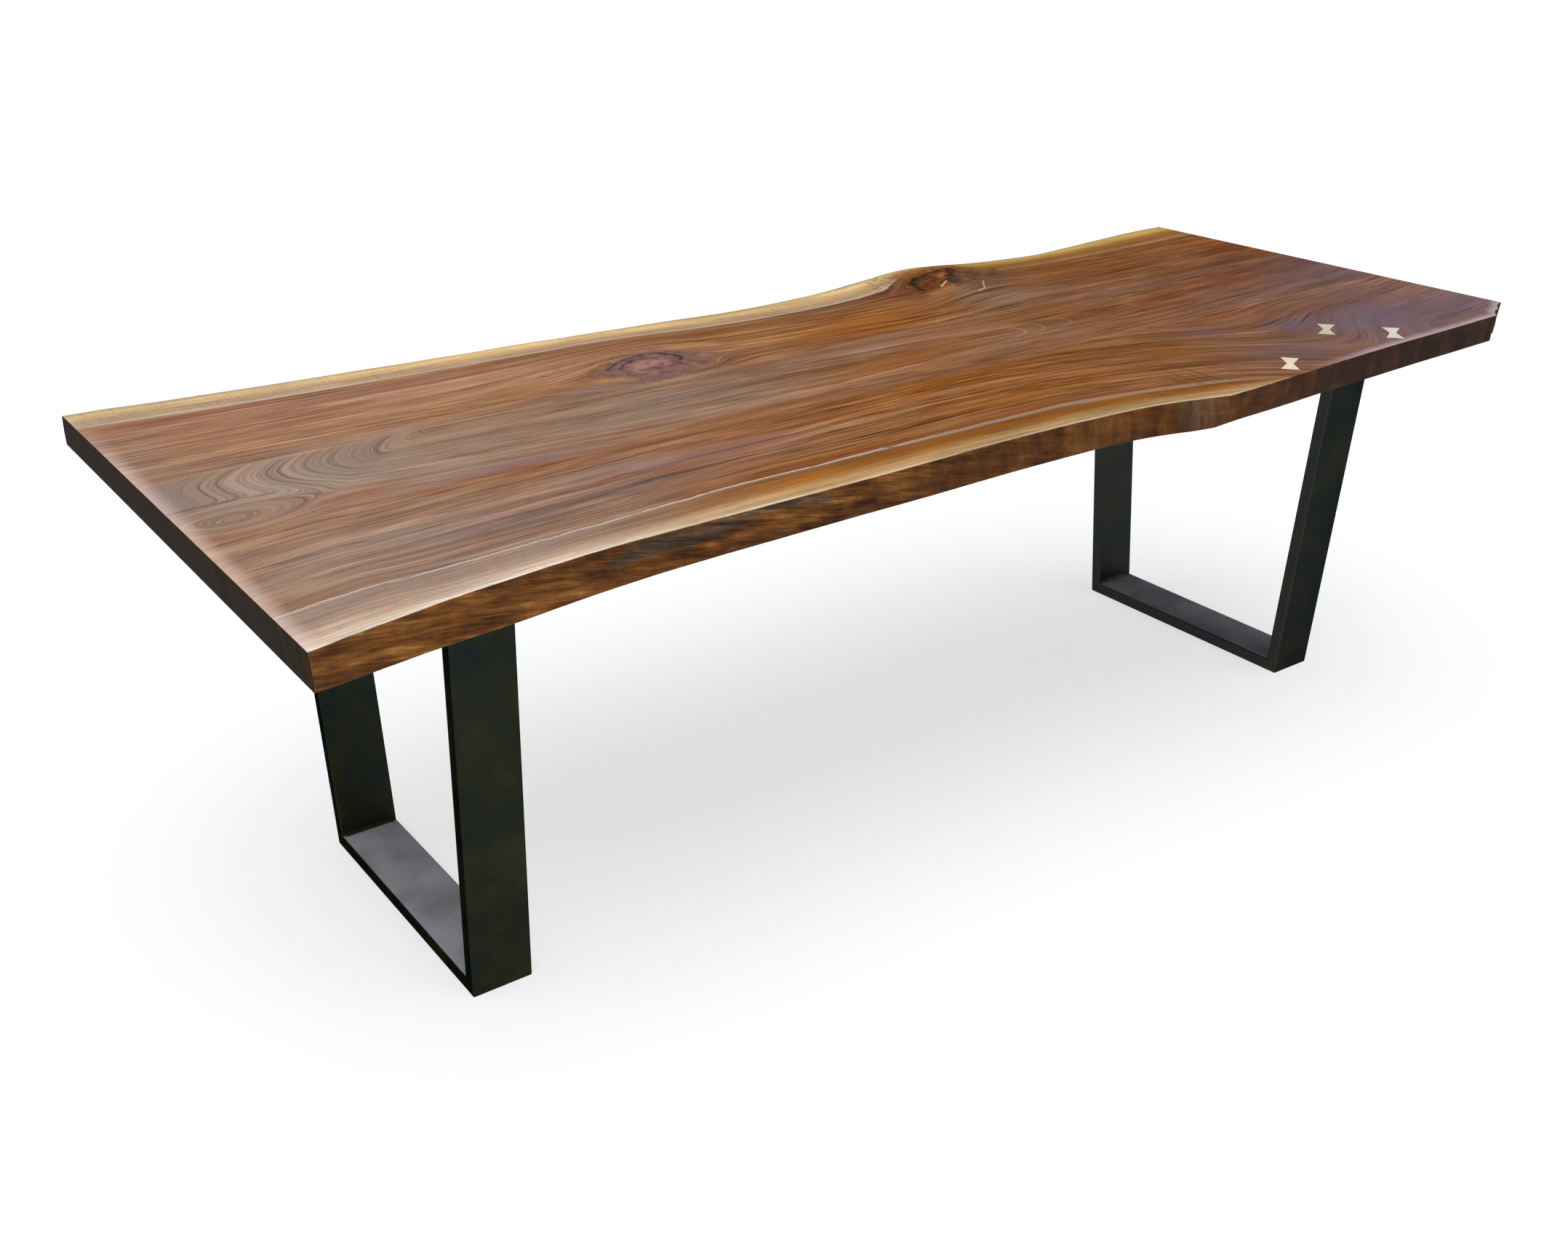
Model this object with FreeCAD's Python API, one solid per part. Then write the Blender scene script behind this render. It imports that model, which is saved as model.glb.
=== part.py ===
import FreeCAD, Part
import math
import os

# A dining table: three walnut boards, edge joined into a live edge top, on two welded steel legs.
# Frame: millimetres, +Z up. X runs along the top and Y across it, with the rear edge at +Y.
# The origin is on the floor, under the middle of the top's length and width.

vec = FreeCAD.Vector

# Whole table
top_length = 2440.0
top_width = 1068.0
table_height = 762.0
top_thickness = 50.0

# Boards: the straight joints between them run along X
rear_joint_y = 123.6
front_joint_y = -134.9
edge_belly = 2.0

# Front right corner, broken off along the grain in two bites
break_length = 92.0
break_width = 50.0
bite_depth = 4.5
break_undercut = 4.0

# Loose tenons that line up the boards
tenon_thickness = 10.0
tenon_width = 50.0
tenon_length = 60.0
tenon_chamfer = 2.5
tenon_clearance = 0.1
mortise_end_gap = 1.0
tenon_end_inset = 160.0
tenon_count = 8

# Butterfly keys let into the top across a check in the front board
key_length = 72.0
key_end_width = 31.0
key_waist = 11.0
key_thickness = 12.0
key_clearance = 0.1

# Legs: rectangular tube, mitred and welded into an open trapezoid
tube_width = 100.0
tube_depth = 25.0
tube_wall = 3.0
tube_corner_radius = 3.0
leg_top_width = 636.4
leg_foot_width = 531.2
leg_middle_y = 3.6
left_leg_inset = 259.7
right_leg_inset = 246.8
bead_size = 5.0
bead_crown = 0.8

# Mounting plate on each leg, and the screws that hold it to the boards
plate_thickness = 6.0
screw_radius = 4.0
screw_length = 25.0
head_across_flats = 13.0
head_height = 5.3
screw_inset_x = 22.0
screw_inset_y = 68.0
thread_clearance = 0.05
hole_clearance = 0.5
slot_travel = 12.0
washer_radius = 8.0
washer_thickness = 1.6
insert_radius = 6.0
insert_length = 18.0
insert_clearance = 0.05
bore_spare_depth = 2.0

# How far every cutting tool runs past the face that it cuts
overrun = 10.0

half_length = top_length / 2
half_width = top_width / 2
top_z = table_height
underside_z = table_height - top_thickness
plate_z = underside_z - plate_thickness

# Live edges in plan, as shares of the half length and the half width.
# Each slab is drawn a little longer than the table, because its ends are cut square afterwards.
rear_top_shares = (
    (-1.03, 0.993), (-1.0, 0.989), (-0.82, 0.946), (-0.615, 0.908), (-0.41, 0.878), (-0.205, 0.843),
    (-0.05, 0.808), (0.05, 0.802), (0.164, 0.825), (0.254, 0.867), (0.344, 0.919), (0.402, 0.933),
    (0.451, 0.908), (0.508, 0.863), (0.574, 0.83), (0.656, 0.812), (0.779, 0.845), (1.0, 0.886),
    (1.03, 0.888))
rear_bottom_shares = (
    (-1.03, 1.004), (-1.0, 1.0), (-0.82, 0.964), (-0.615, 0.93), (-0.41, 0.898), (-0.205, 0.861),
    (-0.05, 0.826), (0.05, 0.818), (0.164, 0.838), (0.254, 0.875), (0.344, 0.921), (0.402, 0.936),
    (0.451, 0.916), (0.508, 0.877), (0.574, 0.847), (0.656, 0.83), (0.779, 0.86), (1.0, 0.899),
    (1.03, 0.901))

# The front edge sweeps in to a sharp knuckle, then runs nearly straight to the right end
knuckle_top_shares = (0.279, -0.944)
knuckle_bottom_shares = (0.254, -0.938)
front_sweep_top_shares = (
    (-1.03, -0.998), (-1.0, -0.9895), (-0.869, -0.927), (-0.738, -0.886), (-0.623, -0.867),
    (-0.459, -0.866), (-0.295, -0.8615), (-0.131, -0.851), (0.016, -0.854), (0.107, -0.864),
    (0.172, -0.878), (0.225, -0.9045), knuckle_top_shares)
front_sweep_bottom_shares = (
    (-1.03, -1.006), (-1.0, -1.0), (-0.869, -0.96), (-0.738, -0.925), (-0.623, -0.896),
    (-0.459, -0.881), (-0.295, -0.8755), (-0.131, -0.868), (0.016, -0.867), (0.098, -0.8725),
    (0.156, -0.8885), (0.205, -0.913), knuckle_bottom_shares)
front_run_top_shares = (
    knuckle_top_shares, (0.38, -0.9315), (0.6, -0.902), (0.82, -0.881), (1.0, -0.867), (1.03, -0.865))
front_run_bottom_shares = (
    knuckle_bottom_shares, (0.38, -0.922), (0.6, -0.8955), (0.82, -0.874), (1.0, -0.8605), (1.03, -0.8585))
front_end_share = -0.867

# Heights of the plan outlines that each slab is lofted through: underside, middle, top face
loft_rise_shares = (0, 0.5, 1)

# Middles of the butterfly keys, and the turn of each from the X axis
key_place_shares = {
    "butterfly_key_near_edge": (0.459, -0.828, 40.0),
    "butterfly_key_near_joint": (0.648, -0.632, 39.0),
    "butterfly_key_near_end": (0.710, -0.797, 43.0)}

# Leg frame: the uprights lean out by the same angle, front and rear
lean = math.atan((leg_top_width - leg_foot_width) / 2 / underside_z)
left_leg_x = -half_length + left_leg_inset + tube_width / 2
right_leg_x = half_length - right_leg_inset - tube_width / 2
parallel_share = 0.999


def edge_curve(top_shares, bottom_shares, rise, outward):
    """Spline of a live edge at a height: rise 0 is the underside and 1 the top face.

    Between them every point moves along a straight line, plus a belly that swells in mid height."""
    belly = outward * edge_belly * math.sin(math.pi * rise)
    z = underside_z + top_thickness * rise
    points = []
    for (top_x, top_y), (bottom_x, bottom_y) in zip(top_shares, bottom_shares):
        x = half_length * (bottom_x + (top_x - bottom_x) * rise)
        y = half_width * (bottom_y + (top_y - bottom_y) * rise) + belly
        points.append(vec(x, y, z))
    curve = Part.BSplineCurve()
    curve.interpolate(points)
    return curve.toShape()


def slab_outline(edges, inner_y):
    """Closed outline of a slab at one height: its live edge, and straight sides beyond the joint."""
    start = edges[0].Vertexes[0].Point
    end = edges[-1].Vertexes[-1].Point
    inner_start = vec(start.x, inner_y, start.z)
    inner_end = vec(end.x, inner_y, end.z)
    sides = [Part.makeLine(end, inner_end), Part.makeLine(inner_end, inner_start),
             Part.makeLine(inner_start, start)]
    return Part.Wire(edges + sides)


def live_edge_board(stretches, joint_y, outward):
    """Slab lofted through its outlines, then ripped straight at the joint and cut square at the ends."""
    outlines = []
    for rise in loft_rise_shares:
        edges = [edge_curve(top, bottom, rise, outward) for top, bottom in stretches]
        outlines.append(slab_outline(edges, joint_y - outward * overrun))
    slab = Part.makeLoft(outlines, True, False)
    depth = half_width + overrun - outward * joint_y
    near_y = min(joint_y, joint_y + outward * depth)
    blank = Part.makeBox(top_length, depth, top_thickness + 2 * overrun,
                         vec(-half_length, near_y, underside_z - overrun))
    return slab.common(blank)


def straight_board():
    """Middle board: both long edges are joints, so it is a plain plank."""
    return Part.makeBox(top_length, rear_joint_y - front_joint_y, top_thickness,
                        vec(-half_length, front_joint_y, underside_z))


def break_outline(undercut, z):
    """Plan of what has broken off the corner: two bites along a slanting line, then square outside."""
    start = vec(half_length - break_length, half_width * front_end_share, z)
    end = vec(half_length, half_width * front_end_share + break_width, z)
    along = (end - start).normalize()
    inward = vec(-along.y, along.x, 0)
    start = start + inward * undercut
    end = end + inward * undercut
    middle = (start + end) / 2
    first_bite = (start + middle) / 2 + inward * bite_depth
    second_bite = (middle + end) / 2 + inward * bite_depth
    outer_start = start - along * (break_width + overrun)
    outer_end = end + along * (break_width + overrun)
    outer_corner = vec(outer_end.x, outer_start.y, z)
    edges = [Part.makeLine(outer_start, start), Part.Arc(start, first_bite, middle).toShape(),
             Part.Arc(middle, second_bite, end).toShape(), Part.makeLine(end, outer_end),
             Part.makeLine(outer_end, outer_corner), Part.makeLine(outer_corner, outer_start)]
    return Part.Wire(edges)


def broken_corner():
    """Cutter for the broken corner: it leans in under the top face."""
    return Part.makeLoft([break_outline(break_undercut, underside_z - overrun),
                          break_outline(0, top_z + overrun)], True, True)


def chamfered_bar(width, thickness, length, middle):
    """Bar with its four long corners chamfered, lying along Y with its middle at a point."""
    half_bar = width / 2
    half_height = thickness / 2
    flat_x = half_bar - tenon_chamfer
    flat_z = half_height - tenon_chamfer
    lower = [(-half_bar, -flat_z), (-flat_x, -half_height), (flat_x, -half_height), (half_bar, -flat_z)]
    upper = [(half_bar, flat_z), (flat_x, half_height), (-flat_x, half_height), (-half_bar, flat_z)]
    outline = [middle + vec(x, -length / 2, z) for x, z in lower + upper]
    return Part.Face(Part.makePolygon(outline + outline[:1])).extrude(vec(0, length, 0))


def tenon_middles(joint_y):
    """Middles of the loose tenons of one joint, evenly spaced and at mid thickness."""
    first_x = -half_length + tenon_end_inset
    spacing = (top_length - 2 * tenon_end_inset) / (tenon_count - 1)
    return [vec(first_x + place * spacing, joint_y, underside_z + top_thickness / 2)
            for place in range(tenon_count)]


def loose_tenons(joint_y):
    """Loose tenons of one joint, half in each board."""
    return [chamfered_bar(tenon_width, tenon_thickness, tenon_length, middle)
            for middle in tenon_middles(joint_y)]


def mortises(joint_y):
    """The mortises of one joint in both boards, with room for glue round each tenon."""
    return [chamfered_bar(tenon_width + 2 * tenon_clearance, tenon_thickness + 2 * tenon_clearance,
                        tenon_length + 2 * mortise_end_gap, middle)
            for middle in tenon_middles(joint_y)]


def butterfly(place, clearance, depth):
    """Double dovetail flush with the top face, pinched to its waist half way along."""
    x_share, y_share, turn = place
    along = key_length / 2 + clearance
    end = key_end_width / 2 + clearance
    waist = key_waist / 2 + clearance
    outline = [vec(-along, -end, 0), vec(0, -waist, 0), vec(along, -end, 0),
               vec(along, end, 0), vec(0, waist, 0), vec(-along, end, 0)]
    key = Part.Face(Part.makePolygon(outline + outline[:1])).extrude(vec(0, 0, depth))
    key.rotate(vec(0, 0, 0), vec(0, 0, 1), turn)
    key.translate(vec(half_length * x_share, half_width * y_share, top_z - key_thickness))
    return key


def leg_point(side, offset, z):
    """Point in the leg's plane, an offset in from the outer face of an upright, at a height."""
    half = leg_foot_width / 2 + z * math.tan(lean) - offset / math.cos(lean)
    return vec(0, leg_middle_y + side * half, z)


def corner_point(side, offset):
    """Point on the mitre line: the same offset in from the upright and up from the floor."""
    return leg_point(side, offset, offset)


def bar_through(points, width, middle_x):
    """Straight bar along X from a closed outline of points in the leg's plane."""
    face = Part.Face(Part.makePolygon(points + points[:1]))
    face.translate(vec(middle_x - width / 2, 0, 0))
    return face.extrude(vec(width, 0, 0))


def rounded_along(bar, axis):
    """Bar with the long edges that run along its axis rounded, as drawn tube is."""
    long_edges = [edge for edge in bar.Edges
                  if abs(edge.tangentAt(edge.FirstParameter).dot(axis)) > parallel_share]
    return bar.makeFillet(tube_corner_radius, long_edges)


def foot_outline(outer, inner):
    """Outline of the foot bar between two offsets from its outside, mitred at both ends."""
    return [corner_point(-1, outer), corner_point(1, outer), corner_point(1, inner), corner_point(-1, inner)]


def upright_outline(side, outer, inner, top):
    """Outline of an upright between two offsets from its outside, mitred below and level on top."""
    return [corner_point(side, outer), leg_point(side, outer, top), leg_point(side, inner, top),
            corner_point(side, inner)]


def foot_bar(middle_x):
    """Tube that lies flat on the floor."""
    bar = bar_through(foot_outline(0, tube_depth), tube_width, middle_x)
    hollow = bar_through(foot_outline(tube_wall, tube_depth - tube_wall),
                         tube_width - 2 * tube_wall, middle_x)
    return rounded_along(bar, vec(0, 1, 0)).cut(hollow)


def upright(side, middle_x):
    """Leaning tube from the mitre on the floor to the mounting plate."""
    bar = bar_through(upright_outline(side, 0, tube_depth, plate_z), tube_width, middle_x)
    hollow = bar_through(upright_outline(side, tube_wall, tube_depth - tube_wall, plate_z),
                         tube_width - 2 * tube_wall, middle_x)
    axis = (leg_point(side, 0, plate_z) - leg_point(side, 0, 0)).normalize()
    return rounded_along(bar, axis).cut(hollow)


def screw_places(middle_x):
    """Places of the four screws of a leg: a pair in the front board and a pair in the rear one."""
    reach_x = tube_width / 2 - screw_inset_x
    reach_y = leg_top_width / 2 - tube_depth - screw_inset_y
    return [(middle_x + x_side * reach_x, leg_middle_y + y_side * reach_y)
            for y_side in (-1, 1) for x_side in (-1, 1)]


def plate_slot(x, y):
    """Slot in the plate: it runs across the boards, so that the top can swell and shrink."""
    radius = screw_radius + hole_clearance
    half_travel = slot_travel / 2
    z = plate_z - overrun
    left, right = x - radius, x + radius
    rear, front = y + half_travel, y - half_travel
    edges = [Part.makeLine(vec(left, rear, z), vec(left, front, z)),
             Part.Arc(vec(left, front, z), vec(x, front - radius, z), vec(right, front, z)).toShape(),
             Part.makeLine(vec(right, front, z), vec(right, rear, z)),
             Part.Arc(vec(right, rear, z), vec(x, rear + radius, z), vec(left, rear, z)).toShape()]
    return Part.Face(Part.Wire(edges)).extrude(vec(0, 0, plate_thickness + 2 * overrun))


def mounting_plate(middle_x):
    """Flat plate across both uprights, with its ends cut to their lean."""
    outline = [leg_point(-1, 0, plate_z), leg_point(1, 0, plate_z),
               leg_point(1, 0, underside_z), leg_point(-1, 0, underside_z)]
    plate = bar_through(outline, tube_width, middle_x)
    return plate.cut([plate_slot(*place) for place in screw_places(middle_x)])


def weld_bead(corner, along_first, along_second, middle_x):
    """Crowned weld in an inside corner, as long as the flat of the tube."""
    first = corner + along_first * bead_size
    second = corner + along_second * bead_size
    outward = ((along_first + along_second) / 2).normalize()
    crest = (first + second) / 2 + outward * bead_crown
    edges = [Part.makeLine(corner, first), Part.Arc(first, crest, second).toShape(),
             Part.makeLine(second, corner)]
    face = Part.Face(Part.Wire(edges))
    flat = tube_width - 2 * tube_corner_radius
    face.translate(vec(middle_x - flat / 2, 0, 0))
    return face.extrude(vec(flat, 0, 0))


def weld_beads(middle_x):
    """Four welds of a leg: foot to upright and upright to plate, front and rear."""
    beads = []
    for side in (-1, 1):
        low = corner_point(side, tube_depth)
        high = leg_point(side, tube_depth, plate_z)
        up = (high - low).normalize()
        inward = vec(0, -side, 0)
        beads.append(weld_bead(low, up, inward, middle_x))
        beads.append(weld_bead(high, -up, inward, middle_x))
    return beads


def hex_screw(x, y):
    """Hex head screw, its head under the washer and its shank up in the insert."""
    head_z = plate_z - washer_thickness - head_height
    corner_radius = head_across_flats / 2 / math.cos(math.pi / 6)
    corners = [vec(x + corner_radius * math.cos(turn * math.pi / 3),
                   y + corner_radius * math.sin(turn * math.pi / 3), head_z) for turn in range(6)]
    head = Part.Face(Part.makePolygon(corners + corners[:1])).extrude(vec(0, 0, head_height))
    shank = Part.makeCylinder(screw_radius, screw_length, vec(x, y, head_z + head_height))
    return head.fuse(shank)


def washer(x, y):
    """Flat washer under the plate."""
    z = plate_z - washer_thickness
    ring = Part.makeCylinder(washer_radius, washer_thickness, vec(x, y, z))
    return ring.cut(Part.makeCylinder(screw_radius + thread_clearance, washer_thickness, vec(x, y, z)))


def threaded_insert(x, y):
    """Threaded bush let into the board, flush with its underside."""
    bush = Part.makeCylinder(insert_radius, insert_length, vec(x, y, underside_z))
    return bush.cut(Part.makeCylinder(screw_radius + thread_clearance, insert_length, vec(x, y, underside_z)))


def insert_bore(x, y):
    """Blind bore for an insert, with spare depth for the end of the screw."""
    return Part.makeCylinder(insert_radius + insert_clearance, insert_length + bore_spare_depth + overrun,
                             vec(x, y, underside_z - overrun))


def write(name, solids):
    """One file for each named piece; identical fasteners share one."""
    shape = solids[0] if len(solids) == 1 else Part.makeCompound(solids)
    shape.exportStep(os.path.join("parts", name + ".step"))


def write_leg(side_name, middle_x):
    """All the pieces of one leg and of its fixings."""
    places = screw_places(middle_x)
    write(side_name + "_leg_mounting_plate", [mounting_plate(middle_x)])
    write(side_name + "_leg_front_upright", [upright(-1, middle_x)])
    write(side_name + "_leg_rear_upright", [upright(1, middle_x)])
    write(side_name + "_leg_foot_bar", [foot_bar(middle_x)])
    write(side_name + "_leg_weld_beads", weld_beads(middle_x))
    write(side_name + "_leg_screws", [hex_screw(*place) for place in places])
    write(side_name + "_leg_washers", [washer(*place) for place in places])
    write(side_name + "_leg_threaded_inserts", [threaded_insert(*place) for place in places])


def write_top():
    """The three boards, the tenons in their joints and the butterfly keys."""
    places = screw_places(left_leg_x) + screw_places(right_leg_x)
    bores = [insert_bore(*place) for place in places]
    pockets = [butterfly(place, key_clearance, key_thickness + overrun)
               for place in key_place_shares.values()]
    rear_stretches = [(rear_top_shares, rear_bottom_shares)]
    front_stretches = [(front_sweep_top_shares, front_sweep_bottom_shares),
                       (front_run_top_shares, front_run_bottom_shares)]
    rear = live_edge_board(rear_stretches, rear_joint_y, 1)
    front = live_edge_board(front_stretches, front_joint_y, -1)
    write("rear_board", [rear.cut(mortises(rear_joint_y) + bores)])
    write("middle_board", [straight_board().cut(mortises(rear_joint_y) + mortises(front_joint_y) + bores)])
    write("front_board", [front.cut(mortises(front_joint_y) + bores + pockets + [broken_corner()])])
    write("rear_joint_tenons", loose_tenons(rear_joint_y))
    write("front_joint_tenons", loose_tenons(front_joint_y))
    for name, place in key_place_shares.items():
        write(name, [butterfly(place, 0, key_thickness)])


os.makedirs("parts", exist_ok=True)
write_top()
write_leg("left", left_leg_x)
write_leg("right", right_leg_x)
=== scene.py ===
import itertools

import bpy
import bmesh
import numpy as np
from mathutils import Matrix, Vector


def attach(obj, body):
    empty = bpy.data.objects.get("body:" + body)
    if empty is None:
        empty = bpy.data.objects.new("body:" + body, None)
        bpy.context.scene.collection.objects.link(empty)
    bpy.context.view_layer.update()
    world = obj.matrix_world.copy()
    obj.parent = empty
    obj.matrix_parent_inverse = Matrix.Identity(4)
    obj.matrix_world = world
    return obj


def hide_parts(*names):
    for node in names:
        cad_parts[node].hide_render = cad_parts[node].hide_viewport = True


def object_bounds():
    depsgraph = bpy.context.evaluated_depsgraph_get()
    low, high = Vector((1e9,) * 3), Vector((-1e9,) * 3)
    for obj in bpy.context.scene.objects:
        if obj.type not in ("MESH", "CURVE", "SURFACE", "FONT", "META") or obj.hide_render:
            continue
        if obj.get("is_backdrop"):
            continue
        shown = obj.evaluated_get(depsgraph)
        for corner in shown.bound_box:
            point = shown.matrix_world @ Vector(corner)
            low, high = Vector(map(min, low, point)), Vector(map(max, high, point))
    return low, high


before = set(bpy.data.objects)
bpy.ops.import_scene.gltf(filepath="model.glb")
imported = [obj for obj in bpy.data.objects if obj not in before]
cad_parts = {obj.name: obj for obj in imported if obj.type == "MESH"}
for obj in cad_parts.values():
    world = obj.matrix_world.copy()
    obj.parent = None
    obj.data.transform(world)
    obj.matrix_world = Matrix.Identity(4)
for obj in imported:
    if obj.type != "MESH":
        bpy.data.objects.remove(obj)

# %% [markdown]
# A live edge table, step by step.
# The real table is three black walnut boards glued edge to edge, on two open legs of blackened steel tube.
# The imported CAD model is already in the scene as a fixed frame. This lesson dresses it: it models the boards
# again with their natural edges, gives every piece a material, and sets up a camera and soft studio light.
# The CAD box is noted first, because dressing must not change the size of the table.

cad_bounds = [list(corner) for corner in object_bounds()]
mm = 0.001
print("CAD box in metres:", [[round(value, 4) for value in corner] for corner in cad_bounds])

# %% [markdown]
# The camera stands at the photograph's viewing angle, found by fitting a camera to 20 corners of the table.
# A camera could be aimed with a constraint, but a plain matrix keeps the small roll of the real picture.
# Its columns are the directions to the right, up and back, worked out from yaw, pitch and roll.

# %% Camera
yaw, pitch, roll = np.radians((35.285, 25.25, -0.465))
camera_place = np.array((-1743.32, -2188.95, 1569.48)) * mm
sensor_width = 36.0
focal_length = 38.005
forward = np.array((np.cos(pitch) * np.sin(yaw), np.cos(pitch) * np.cos(yaw), -np.sin(pitch)))
level_right = np.array((np.cos(yaw), -np.sin(yaw), 0))
level_up = np.cross(level_right, forward)
right = np.cos(roll) * level_right + np.sin(roll) * level_up
up = np.cos(roll) * level_up - np.sin(roll) * level_right
camera_data = bpy.data.cameras.new("camera")
camera_data.sensor_width = sensor_width
camera_data.lens = focal_length
camera_data.clip_end = 200
camera = bpy.data.objects.new("camera", camera_data)
turn = Matrix([list(row) for row in np.stack([right, up, -forward], axis=1)]).to_4x4()
camera.matrix_world = Matrix.Translation(camera_place) @ turn
bpy.context.scene.collection.objects.link(camera)
bpy.context.scene.camera = camera
print("camera", focal_length, "mm lens, at", camera_place.round(3))


# %% [markdown]
# Materials are trees of nodes. One small function adds a node, sets it up and links it, so that each
# material below reads as a list of what it is made of. Colours are written as sRGB hex values, as a colour
# picker shows them, and one function turns them to the linear values that light is worked out in.

# %% Helpers for colours and nodes
def linear(hex_colour):
    """sRGB hex to linear RGBA: each channel is undone from the sRGB curve."""
    channels = np.array([int(hex_colour[start:start + 2], 16) for start in (1, 3, 5)]) / 255
    low = channels / 12.92
    high = ((channels + 0.055) / 1.055) ** 2.4
    return (*np.where(channels <= 0.04045, low, high).tolist(), 1.0)


def add(tree, kind, links=None, out=0, shades="", **settings):
    """Adds a node with its settings and links, and returns one of its outputs.

    links names inputs, each with a value or the output that feeds it; shades are the hex colours of a
    ramp, spaced evenly from 0 to 1."""
    node = tree.nodes.new("ShaderNode" + kind)
    for name, value in settings.items():
        setattr(node, name, value)
    for key, value in (links or {}).items():
        if isinstance(value, bpy.types.NodeSocket):
            tree.links.new(value, node.inputs[key])
        else:
            node.inputs[key].default_value = value
    for index, shade in enumerate(shades.split()):
        last = len(shades.split()) - 1
        stops = node.color_ramp.elements
        stop = stops.new(index / last) if 0 < index < last else stops[-1 if index else 0]
        stop.color = linear(shade)
    return node.outputs[out] if len(node.outputs) else node


def new_material(name):
    """Empty material with a Principled shader; returns the material, its tree and the shader."""
    material = bpy.data.materials.new(name)
    material.use_nodes = True
    tree = material.node_tree
    tree.nodes.clear()
    surface = add(tree, "BsdfPrincipled")
    add(tree, "OutputMaterial", {"Surface": surface})
    return material, tree, surface.node


def finish_of(material, *objects):
    """Gives objects one material for all their faces."""
    for thing in objects:
        thing.data.materials.clear()
        thing.data.materials.append(material)


# A Mix node that mixes colours takes them at inputs 6 and 7 and gives the mix at output 2
colours = {"data_type": "RGBA", "out": 2}
first_colour, second_colour = 6, 7
# A Map Range node with this setting eases in and out
softly = {"interpolation_type": "SMOOTHSTEP"}


# %% [markdown]
# The studio is a wide sheet of opal acrylic under a sky of white cloth. Lamps below light the sheet
# softly, as on a shooting table, and give most of its light, so the shadow of the table stays pale and
# fades out slowly. The sky is bright overhead and behind the camera, and dim low down on the far side,
# because the table top mirrors that part towards the camera: a bright strip there would wash the colour
# out of the walnut. Two soft boxes stand in that dim part: their blurred reflections give the pale glare
# at the left end and, a little bluer, at the right end. A third box, behind and to the left of the
# camera, is the main light on the front edge.

# %% Floor
floor_size = 80.0
lamp_strength = 0.63
bpy.ops.mesh.primitive_grid_add(x_subdivisions=40, y_subdivisions=40, size=floor_size)
floor = bpy.context.object
floor.name = "studio_floor"
floor_material, tree, shader = new_material("opal_acrylic_lit_from_below")
coords = add(tree, "TexCoord", out="Object")
mottle = add(tree, "TexNoise", {"Vector": coords, "Scale": 0.4, "Detail": 2.0})
acrylic = add(tree, "ValToRGB", {0: mottle}, shades="#8f9295 #919497")
tree.links.new(acrylic, shader.inputs["Base Color"])
shader.inputs["Roughness"].default_value = 0.9
shader.inputs["Specular IOR Level"].default_value = 0.1
shader.inputs["Emission Color"].default_value = linear("#ffffff")
shader.inputs["Emission Strength"].default_value = lamp_strength
finish_of(floor_material, floor)
floor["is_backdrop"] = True
print("floor", floor_size, "m square, lit from below at", lamp_strength)

# %% Sky of white cloth
scene = bpy.context.scene
scene.view_settings.view_transform = "Standard"
world = bpy.data.worlds.new("studio")
world.use_nodes = True
scene.world = world
tree = world.node_tree
tree.nodes.clear()
direction = add(tree, "TexCoord", out="Generated")
height = add(tree, "SeparateXYZ", {0: direction}, out="Z")
sideways = add(tree, "SeparateXYZ", {0: direction})
far_way = (0.57, 0.82, 0.0)
facing = add(tree, "VectorMath", {0: direction, 1: far_way}, operation="DOT_PRODUCT", out="Value")
far_side = add(tree, "MapRange", {0: facing, 1: -0.1, 2: 0.45}, **softly)
left_side = add(tree, "MapRange", {0: sideways, 1: -0.25, 2: -0.85}, **softly)
# The bright part overhead starts a little higher on the far side
lowered = add(tree, "Math", {0: far_side, 1: -0.22, 2: height}, operation="MULTIPLY_ADD")
overhead = add(tree, "MapRange", {0: lowered, 1: 0.5, 2: 0.85}, **softly)
sky = linear("#cdcdcd")
overhead_white = (3.3, 3.3, 3.3, 1.0)
for share, shade in ((left_side, linear("#7c7a77")), (far_side, linear("#26262a")),
                     (overhead, overhead_white)):
    sky = add(tree, "Mix", {0: share, first_colour: sky, second_colour: shade}, **colours)
# The camera sees the cloth as plain white, whatever light it gives
plain_white = (1.0, 1.0, 1.0, 1.0)
seen = add(tree, "LightPath", out="Is Camera Ray")
cloth_colour = add(tree, "Mix", {0: seen, first_colour: sky, second_colour: plain_white}, **colours)
cloth = add(tree, "Background", {"Color": cloth_colour})
add(tree, "OutputWorld", {"Surface": cloth})
print("sky ready")


# %% Soft boxes
def soft_box(name, place, target, size, power):
    """Rectangular light at a place in metres, turned so that it faces a target."""
    data = bpy.data.lights.new(name, "AREA")
    data.shape = "RECTANGLE"
    data.size, data.size_y = size
    data.energy = power
    box = bpy.data.objects.new(name, data)
    place = np.array(place, dtype=float)
    back = place - np.array(target, dtype=float)
    back /= np.linalg.norm(back)
    across = np.cross((0, 0, 1), back)
    across /= np.linalg.norm(across)
    axes = np.stack([across, np.cross(back, across), back], axis=1)
    box.matrix_world = Matrix.Translation(place) @ Matrix([list(row) for row in axes]).to_4x4()
    box.visible_camera = False
    scene.collection.objects.link(box)
    print(name, "at", place, "m,", power, "W")
    return box


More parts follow.
